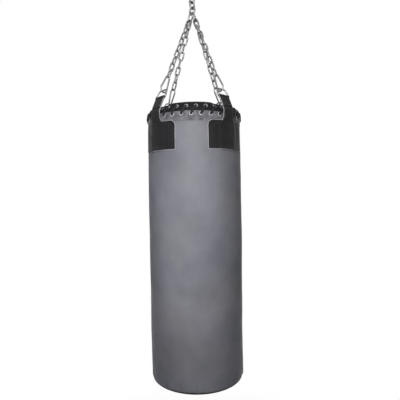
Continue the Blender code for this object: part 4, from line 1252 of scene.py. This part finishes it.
def lidSurface(angle, height):
    # the lid's outer radius, drawn in by straps and lace
    pull = bell(eyeletPhase(angle) * 3.4, (height - bag["upperRow"]) / 0.009) * lidSizes["pull"]
    return lidProfile(height) - lidDrawnIn(angle, height) - lidPinched(angle, height) - pull


drape = {
    "frames": 20,
    "heldTo": 0.023,  # over the rim
    "freeFrom": 0.034,
    "most": 0.0045,
    "weight": 0.1,
    "stiffness": 60.0,
    "bending": 0.3,
    "quality": 6,
}


def draped(shape):
    # short cloth simulation: hem, lace and straps hold the lid's side, and its slack crown sags
    made = linked("drape", shape.copy())
    held = made.vertex_groups.new(name="held")
    for vert in made.data.vertices:
        rise = (vert.co.z - rimZ - drape["heldTo"]) / (drape["freeFrom"] - drape["heldTo"])
        held.add([vert.index], 1.0 - smoothstep(rise), "REPLACE")
    cloth = made.modifiers.new("drape", "CLOTH")
    cloth.point_cache.frame_start, cloth.point_cache.frame_end = 1, drape["frames"]
    cloth.collision_settings.use_collision = False
    settings = cloth.settings
    settings.quality = drape["quality"]
    settings.effector_weights.gravity = drape["weight"]
    settings.tension_stiffness = settings.compression_stiffness = drape["stiffness"]
    settings.bending_stiffness = drape["bending"]
    settings.vertex_group_mass = "held"
    for step in range(1, drape["frames"] + 1):
        bpy.context.scene.frame_set(step)
    after = made.evaluated_get(bpy.context.evaluated_depsgraph_get()).data
    shape.verts.ensure_lookup_table()
    furthest = 0.0
    for vert, end in zip(shape.verts, after.vertices):
        shift = end.co - vert.co
        furthest = max(furthest, shift.length)
        vert.co += shift * drape["most"] / (drape["most"] + shift.length)
    bpy.data.objects.remove(made)
    bpy.context.scene.frame_set(1)
    print(f"Lid draped, {furthest * 1000:.1f} mm before the cap")


def domedSheet(profile, steps):
    # profile of (radius, z) up to the axis, ring by ring: spin would leave the vertices in another order
    # each run, and with it a slightly different drape
    shape = bmesh.new()
    angles = [2 * math.pi * i / steps for i in range(steps)]
    rings = [[shape.verts.new(around(angle, r, z)) for angle in angles] for r, z in profile[:-1]]
    rings.append([shape.verts.new((0, 0, profile[-1][1]))] * steps)
    for low, high in zip(rings, rings[1:]):
        for i in range(steps):
            corners = (low[i - 1], low[i], high[i], high[i - 1])
            shape.faces.new(corners[:3] if high[i] is high[i - 1] else corners)
    shape.normal_update()
    return shape


def lidPiece():
    sides, rings, (calm, fade) = lidSizes["sideRings"], lidSizes["topRings"], lidSizes["calmMiddle"]
    top, flat = bag["lidHeight"] + bag["lidCrown"], bag["lidFlat"]
    heights = [bag["lidHeight"] * i / sides for i in range(sides)]
    profile = [(lidProfile(height), height) for height in heights]
    shoulder = profile[-1]
    for share in [i / rings for i in range(1, rings + 1)]:
        rise = math.sin(share * quarter) ** lidSizes["doming"]
        profile.append((shoulder[0] * (1 - share), mix(shoulder[1], top, rise)))
    shape = domedSheet(profile, lidSizes["around"])
    for vert in shape.verts:
        radius, height = math.hypot(vert.co.x, vert.co.y), vert.co.z
        if radius < lidSizes["middle"]:
            vert.co.z += rimZ + bag["lidLift"]
            continue
        angle = math.atan2(vert.co.y, vert.co.x)
        reach = smoothstep((radius - flat) / (bag["lidRadius"] - flat) * 2)
        drawn = (lidProfile(height) - lidSurface(angle, height)) * reach
        seat = underEyelet(eyeletPhase(angle), height - bag["upperRow"])
        crumple = min(waves(vert.co, *lidSizes["crumples"]), 0)
        edge = smoothstep((radius - calm) / fade)
        radius += crumple * edge * (1 - seat) - drawn
        vert.co = around(angle, radius, height + rimZ + bag["lidLift"])
        vert.co.z += waves(vert.co, lidSizes["slack"]) * (1 - edge)
    draped(shape)
    thicken(shape, lidSizes["wall"])
    lid = finishPiece("lidLeather", shape, "lidLeather", "bag", ["lid"])


bandPiece()
lidPiece()
print("Leather made")


eyelet = {
    "outer": 0.0145,
    "hole": 0.0078,
    "roll": 0.0011,
    "barrel": 0.0036,
    "wall": 0.0007,
    "sides": 20,
    "bandSink": 0.0004,
    "lidSink": 0.0003,
    "reach": 0.0055,  # where the leather under the flange is felt for
}


def eyeletAngle(index):
    return frontAngle + eyeletStep * index


def lidSeat(angle):
    # radius of the lid where an eyelet sits on it, and the ways up and along its leather there
    middle, reach = bag["upperRow"] - bag["lidLift"], eyelet["reach"]
    turn = reach / bag["lidRadius"]
    low, high, before, after = [
        around(angle + aside, lidSurface(angle + aside, middle + rise), middle + rise)
        for aside, rise in ((0, -reach), (0, reach), (-turn, 0), (turn, 0))
    ]
    mean = (low + high + before + after).dot(around(angle)) / 4
    return max(mean, lidSurface(angle, middle)), high - low, after - before


def eyeletRing(place):
    # rolled flange with a barrel through the leather
    hole, rim, roll = eyelet["hole"] / 2, eyelet["outer"] / 2, eyelet["roll"]
    foot, wall = -eyelet["barrel"], eyelet["wall"]
    profile = [(rim, 0.0), (rim - 0.0001, roll * 0.5), (rim - roll * 0.8, roll * 0.9)]
    profile += [(hole + roll * 0.7, roll), (hole + roll * 0.1, roll * 0.6), (hole, -0.001), (hole, foot)]
    profile += [(hole + wall, foot), (hole + wall, -0.0004)]
    shape = turnedShape(profile, eyelet["sides"], closed=True)
    shape.transform(place)
    return shape


def eyeletRows():
    lower, upper = [], []
    for index in range(bag["eyelets"]):
        low, high = eyeletAngle(index), eyeletAngle(index + 0.5)
        onBand = around(low, bag["bandRadius"] - eyelet["bandSink"], rimZ - bag["lowerRow"])
        lower.append(eyeletRing(frameAlong(onBand, up, around(low + quarter))))
        radius, climb, sideways = lidSeat(high)
        onLid = around(high, radius - eyelet["lidSink"], rimZ + bag["upperRow"])
        upper.append(eyeletRing(frameAlong(onLid, climb, sideways)))
    for name, rings in (("eyeletsBand", lower), ("eyeletsLid", upper)):
        finishPiece(name, merged(rings), "eyeletMetal", "bag", smoothBelow=60)


lace = {
    "width": 0.0088,
    "thick": 0.0036,
    "softness": 0.8,
    "steps": 7,
    "sides": 12,
    "tension": 0.36,
    "sway": (0.05, 0.0, 0.35),
    "cup": 0.4,
    "plaitSteps": 12,
}


def lacePiece():
    # flat lace, soft at its edges, that turns over as it dives through the eyelets
    out = lace["thick"] / 2 + bag["laceStandOff"]
    inside = bag["laceWire"] / 2 + bag["laceStandOff"]
    lowZ, highZ, bend = rimZ - bag["lowerRow"], rimZ + bag["upperRow"], strap["bendHeight"]
    knots, sides = [], []
    for index in range(bag["eyelets"]):
        low, high = eyeletAngle(index), eyeletAngle(index + 0.5)
        middle = (low + high) / 2
        lidOuter = lidSeat(high)[0]
        rim = max(bag["bandRadius"], lidProfile(bend) - lidDrawnIn(middle, bend))
        run = [
            around(low, bag["bandRadius"] - bag["bandWall"] - inside, lowZ),
            around(low, bag["bandRadius"] + out, lowZ),
            around(middle, rim + out, rimZ + bend),
            around(high, lidOuter + out, highZ),
            around(high, lidOuter - bag["lidWall"] - inside, highZ),
        ]
        over = (run[3] - run[1]).cross(around(middle)).normalized()
        ends = (over + Vector((over.x, over.y, -over.z))).normalized()
        knots += run
        sides += [ends, over, over, over, ends]
    count = len(knots)
    headings = [(knots[(i + 1) % count] - knots[i - 1]).normalized() for i in range(count)]
    centres, flats = [], []
    for i in range(count):
        after = (i + 1) % count
        reach = (knots[after] - knots[i]).length * lace["tension"]
        handles = (knots[i] + headings[i] * reach, knots[after] - headings[after] * reach)
        centres += geometry.interpolate_bezier(knots[i], *handles, knots[after], lace["steps"] + 1)[:-1]
        flats += [sides[i].lerp(sides[after], step / lace["steps"]) for step in range(lace["steps"])]
    shape = bmesh.new()
    total = len(centres)
    bmesh.ops.create_grid(shape, x_segments=total, y_segments=lace["sides"], size=1, calc_uvs=False)
    texture = shape.loops.layers.uv.new("run")
    for face in shape.faces:
        for loop in face.loops:
            loop[texture].uv = ((loop.vert.co.x + 1) * total / lace["plaitSteps"], (loop.vert.co.y + 1) / 2)
    for vert in shape.verts:
        index = round((vert.co.x + 1) / 2 * total) % total
        turn = vert.co.y * math.pi
        along = (centres[(index + 1) % total] - centres[index - 1]).normalized()
        normal = flats[index].cross(along).normalized()
        flat = along.cross(normal)
        wave = waves(centres[index], lace["sway"])
        reach = [math.copysign(abs(v) ** lace["softness"], v) / 2 for v in (math.cos(turn), math.sin(turn))]
        across, thick = reach[0] * lace["width"], reach[1] * lace["thick"]
        cup = wave * across * lace["cup"]
        vert.co = centres[index] + flat * (across - wave * thick) + normal * (thick + cup)
    bmesh.ops.remove_doubles(shape, verts=shape.verts, dist=0.00001)
    finishPiece("laceCord", shape, "cord", "bag", ["lace"])


eyeletRows()
lacePiece()
print("Eyelets and lace made")


inside = {
    "foamWall": 0.0085,
    "foamGap": 0.0035,
    "foamCorner": 0.008,
    "foamRound": 0.002,
    "foamPlain": 0.03,  # evenly divided but for this much at each end
    "rowsUp": 40,
    "ragShoulder": 0.02,
    "ragHeel": 0.014,
    "ragGap": 0.0005,
    "ragFoot": ((0.004, 0.003), (0.012, 0.0)),  # inset and rise
    "ragLumps": (0.03, 7.0, 0.002),
    "ragShrink": 0.001,
    "ragPlain": 0.05,  # radius of the middle that has no lumps
    "flapShoulder": 0.018,
    "flapWall": 0.0024,
    "flapRipple": (0.05, 11.0, 0.0006),
}


def domed(radius, top, foot, shoulder, steps, rows):
    # from the middle of the top over a round shoulder and down the side
    profile = [(0, top)] + arcPoints((radius - shoulder, top - shoulder), shoulder, 90, 0, steps)
    return profile + [(radius, mix(top - shoulder, foot, i / rows)) for i in range(1, rows + 1)]


def foamPiece():
    foot, top = [corner.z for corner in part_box("foam_liner")]
    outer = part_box("foam_liner")[1].x - inside["foamGap"]
    inner, corner = outer - inside["foamWall"], inside["foamCorner"]
    edge, plain = inside["foamRound"], inside["foamPlain"]
    foot += edge
    profile = [(outer, top - edge), (outer - edge, top), (inner, top), (inner, foot + corner)]
    profile += arcPoints((outer - corner, foot + 2 * corner), corner, -60, 0, 4)
    profile += [(outer, mix(foot + plain, top - plain, i / 30)) for i in range(31)]
    shape = turnedShape(profile, 96, closed=True)
    piece = finishPiece("foamSheet", shape, "foam", "bag", ["foam_liner"])


def ragPiece():
    foot, top = [corner.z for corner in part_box("filling")]
    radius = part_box("filling")[1].x - inside["ragGap"]
    profile = domed(radius, top, foot + inside["ragHeel"], inside["ragShoulder"], 6, inside["rowsUp"])[:-1]
    profile += [(radius - inset, foot + rise) for inset, rise in inside["ragFoot"]] + [(0, foot)]
    shape = turnedShape(profile, 72)
    for vert in shape.verts:
        if math.hypot(vert.co.x, vert.co.y) > inside["ragPlain"]:
            lump = min(waves(vert.co, inside["ragLumps"]) - inside["ragShrink"], 0)
            vert.co += outwards(vert.co) * lump
    piece = finishPiece("ragPacking", shape, "rags", "bag", ["filling"])


def flapPiece():
    foot, top = [corner.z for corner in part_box("inner_flap")]
    shape = turnedShape(domed(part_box("inner_flap")[1].x, top, foot, inside["flapShoulder"], 8, 8), 96)
    for vert in shape.verts:
        vert.co.z -= abs(waves(vert.co, inside["flapRipple"]))
    thicken(shape, inside["flapWall"])
    finishPiece("innerFlap", shape, "blackLeather", "bag", ["inner_flap"])


foamPiece()
ragPiece()
flapPiece()
print("Inside made")


patchRows = {"edge": (0.005, 0.0105), "tail": (0.0145, 0.0225), "strapGap": 0.028}
tack = {"across": 0.051, "depth": 0.0765, "length": 0.019, "pitch": 0.0011, "width": 0.0030}
tackThread = {**stitch, "fill": 0.5, "height": 0.0013}
hemRows = (0.021, 0.0262)


def patchStitches(line):
    # two rows round the edge, two more up each side
    half, top = patch["width"] / 2, rimZ - patch["top"]
    foot, corner = top - patch["height"], patch["corner"]
    rows = []
    for inset in patchRows["edge"]:
        low, x, y = foot + inset, half - inset, top - inset
        rows.append(spacedOut((-x, low), (x, low)))
        for side in (-1, 1):
            rows.append(spacedOut((side * x, low), (side * x, top - corner)))
            rows.append(spacedOut((side * (half - corner), y), (side * patchRows["strapGap"], y)))
    inner = patchRows["edge"][1]
    for gap in patchRows["tail"]:
        for x in (gap - half, half - gap):
            rows.append(spacedOut((x, foot + inner), (x, top - inner)))

    def place(across, z, height):
        return patchPoint(line, across, z, patch["seat"] + patch["wall"] + height)

    stitchPiece(f"patchStitches_{line.name}", rows, place, "blackThread")
    if line.name == "front_left":
        # bar tack: a dense zigzag, sewn through the patch on this side only
        middle, reach = rimZ - tack["depth"], tack["length"] / 2
        spots = spacedOut((0, middle - reach), (0, middle + reach), tack["pitch"])
        zigzag = [(tack["across"] + (i % 2 - 0.5) * tack["width"], z) for i, (_, z) in enumerate(spots)]
        stitchPiece("barTack", [zigzag], place, "tackThread", tackThread)


def hemStitches():
    def place(angle, depth, height):
        return around(angle, bag["bandRadius"] - stitch["hemSink"] + height, rimZ - depth)

    step = stitch["pitch"] / bag["bandRadius"]
    turns = [i * step for i in range(round(2 * math.pi / step) + 1)]
    rows = [[(turn, depth) for turn in turns] for depth in hemRows]
    stitchPiece("hemStitches", rows, place, "greyThread")


for line in lines:
    strapStitches(line)
    patchStitches(line)
hemStitches()
print("Stitches made")


studio = {
    "worldFill": 0.03,
    "floorDrop": 0.55,
    "floorRadius": 9.0,
    "floorShown": 0.85,  # share of plain white near the bag, where its shadow shows
    "fadeFrom": 2.06,
    "fadeTo": 2.3,
}
lamps = {
    "key": {
        "power": 7.9,
        "at": (0.12, -1.45, -0.12),
        "aim": (0.0, 0.0, -0.75),
        "size": (0.7, 0.7),
        "colour": (1.0, 1.0, 0.97),
        "inReflections": True,
    },
    "strip": {
        "power": 4.2,
        "at": (-0.07, -0.74, -0.80),
        "aim": (0.0, 0.0, -0.80),
        "size": (0.12, 0.84),
        "colour": (0.95, 0.95, 1.0),
        "inReflections": True,
    },
    "back": {
        "power": 19.0,
        "at": (0.0, 1.5, -0.45),
        "aim": (0.0, 0.0, -0.75),
        "size": (0.5, 1.2),
        "colour": (1.0, 1.0, 1.0),
        "inReflections": False,  # or it glares along the lid
    },
}
view = {
    "distance": 1.47,
    "azimuth": math.radians(3),
    "level": rimZ - 0.291,
    "roll": math.radians(0.88),
    "focal": 383.0,
    "pixels": 400,
    "centre": (195.05, 196),
}


def raysThatSee(tree, *kinds):
    # 1 for the kinds of rays that are to find plain white
    rays = tree.nodes.new("ShaderNodeLightPath")
    found = [Signal(rays.outputs[f"Is {kind} Ray"]) for kind in kinds]
    seen = found[0]
    for one in found[1:]:
        seen = seen.calc("MAXIMUM", seen, one)
    return seen


def makeWorld():
    world = bpy.data.worlds.new("studio")
    world.use_nodes = True
    bpy.context.scene.world = world
    background = world.node_tree.nodes["Background"]
    background.inputs["Color"].default_value = (1, 1, 1, 1)
    seen = raysThatSee(world.node_tree, "Camera", "Glossy", "Transmission")
    strength = seen * (1 - studio["worldFill"]) + studio["worldFill"]
    world.node_tree.links.new(strength.socket, background.inputs["Strength"])


def makeFloor():
    shape = bmesh.new()
    bmesh.ops.create_circle(shape, cap_ends=True, segments=96, radius=studio["floorRadius"])
    bmesh.ops.translate(shape, verts=shape.verts, vec=(0, 0, baseZ - studio["floorDrop"]))
    floor = linked("floor", shape)
    material, shader, place = newFinish("paleFloor", 0.9, Base_Color=(0.9, 0.9, 0.9, 1))
    nodes, links = material.node_tree.nodes, material.node_tree.links
    glow = nodes.new("ShaderNodeEmission")
    blend = nodes.new("ShaderNodeMixShader")
    away = place.node("VectorMath", {"operation": "LENGTH"}, {0: place}, output=1)
    away = away.spread(studio["fadeFrom"], studio["fadeTo"], studio["floorShown"], 1.0)
    seen = raysThatSee(material.node_tree, "Camera", "Glossy") * away
    links.new(seen.socket, blend.inputs[0])
    links.new(shader.outputs[0], blend.inputs[1])
    links.new(glow.outputs[0], blend.inputs[2])
    links.new(blend.outputs[0], nodes["Material Output"].inputs[0])
    floor.data.materials.append(material)


def areaLamp(name, sizes):
    lamp = bpy.data.lights.new(name, "AREA")
    lamp.energy = sizes["power"]
    lamp.color = sizes["colour"]
    lamp.shape = "RECTANGLE"
    lamp.size, lamp.size_y = sizes["size"]
    made = bpy.data.objects.new(name, lamp)
    made.visible_camera = False
    made.visible_glossy = sizes["inReflections"]
    made.location = sizes["at"]
    made.rotation_mode = "QUATERNION"
    made.rotation_quaternion = (Vector(sizes["aim"]) - made.location).to_track_quat("-Z", "Y")
    bpy.context.scene.collection.objects.link(made)


def makeCamera():
    pixels, (x, y) = view["pixels"], view["centre"]
    camera = bpy.data.cameras.new("camera")
    camera.sensor_width = 36
    camera.lens = view["focal"] / pixels * camera.sensor_width
    camera.shift_x = (pixels / 2 - x) / pixels
    camera.shift_y = (y - pixels / 2) / pixels
    camera.clip_start = 0.05
    made = bpy.data.objects.new("camera", camera)
    bpy.context.scene.collection.objects.link(made)
    back = Vector((math.sin(view["azimuth"]), -math.cos(view["azimuth"]), 0))
    level = (-back).to_track_quat("-Z", "Y").to_matrix().to_4x4()
    stand = Matrix.Translation(back * view["distance"] + up * view["level"])
    made.matrix_world = stand @ level @ Matrix.Rotation(-view["roll"], 4, "Z")
    bpy.context.scene.camera = made


makeWorld()
makeFloor()
for name, sizes in lamps.items():
    areaLamp(name, sizes)
makeCamera()
bpy.context.scene.view_settings.view_transform = "Standard"
print("Studio made")

bpy.context.view_layer.update()
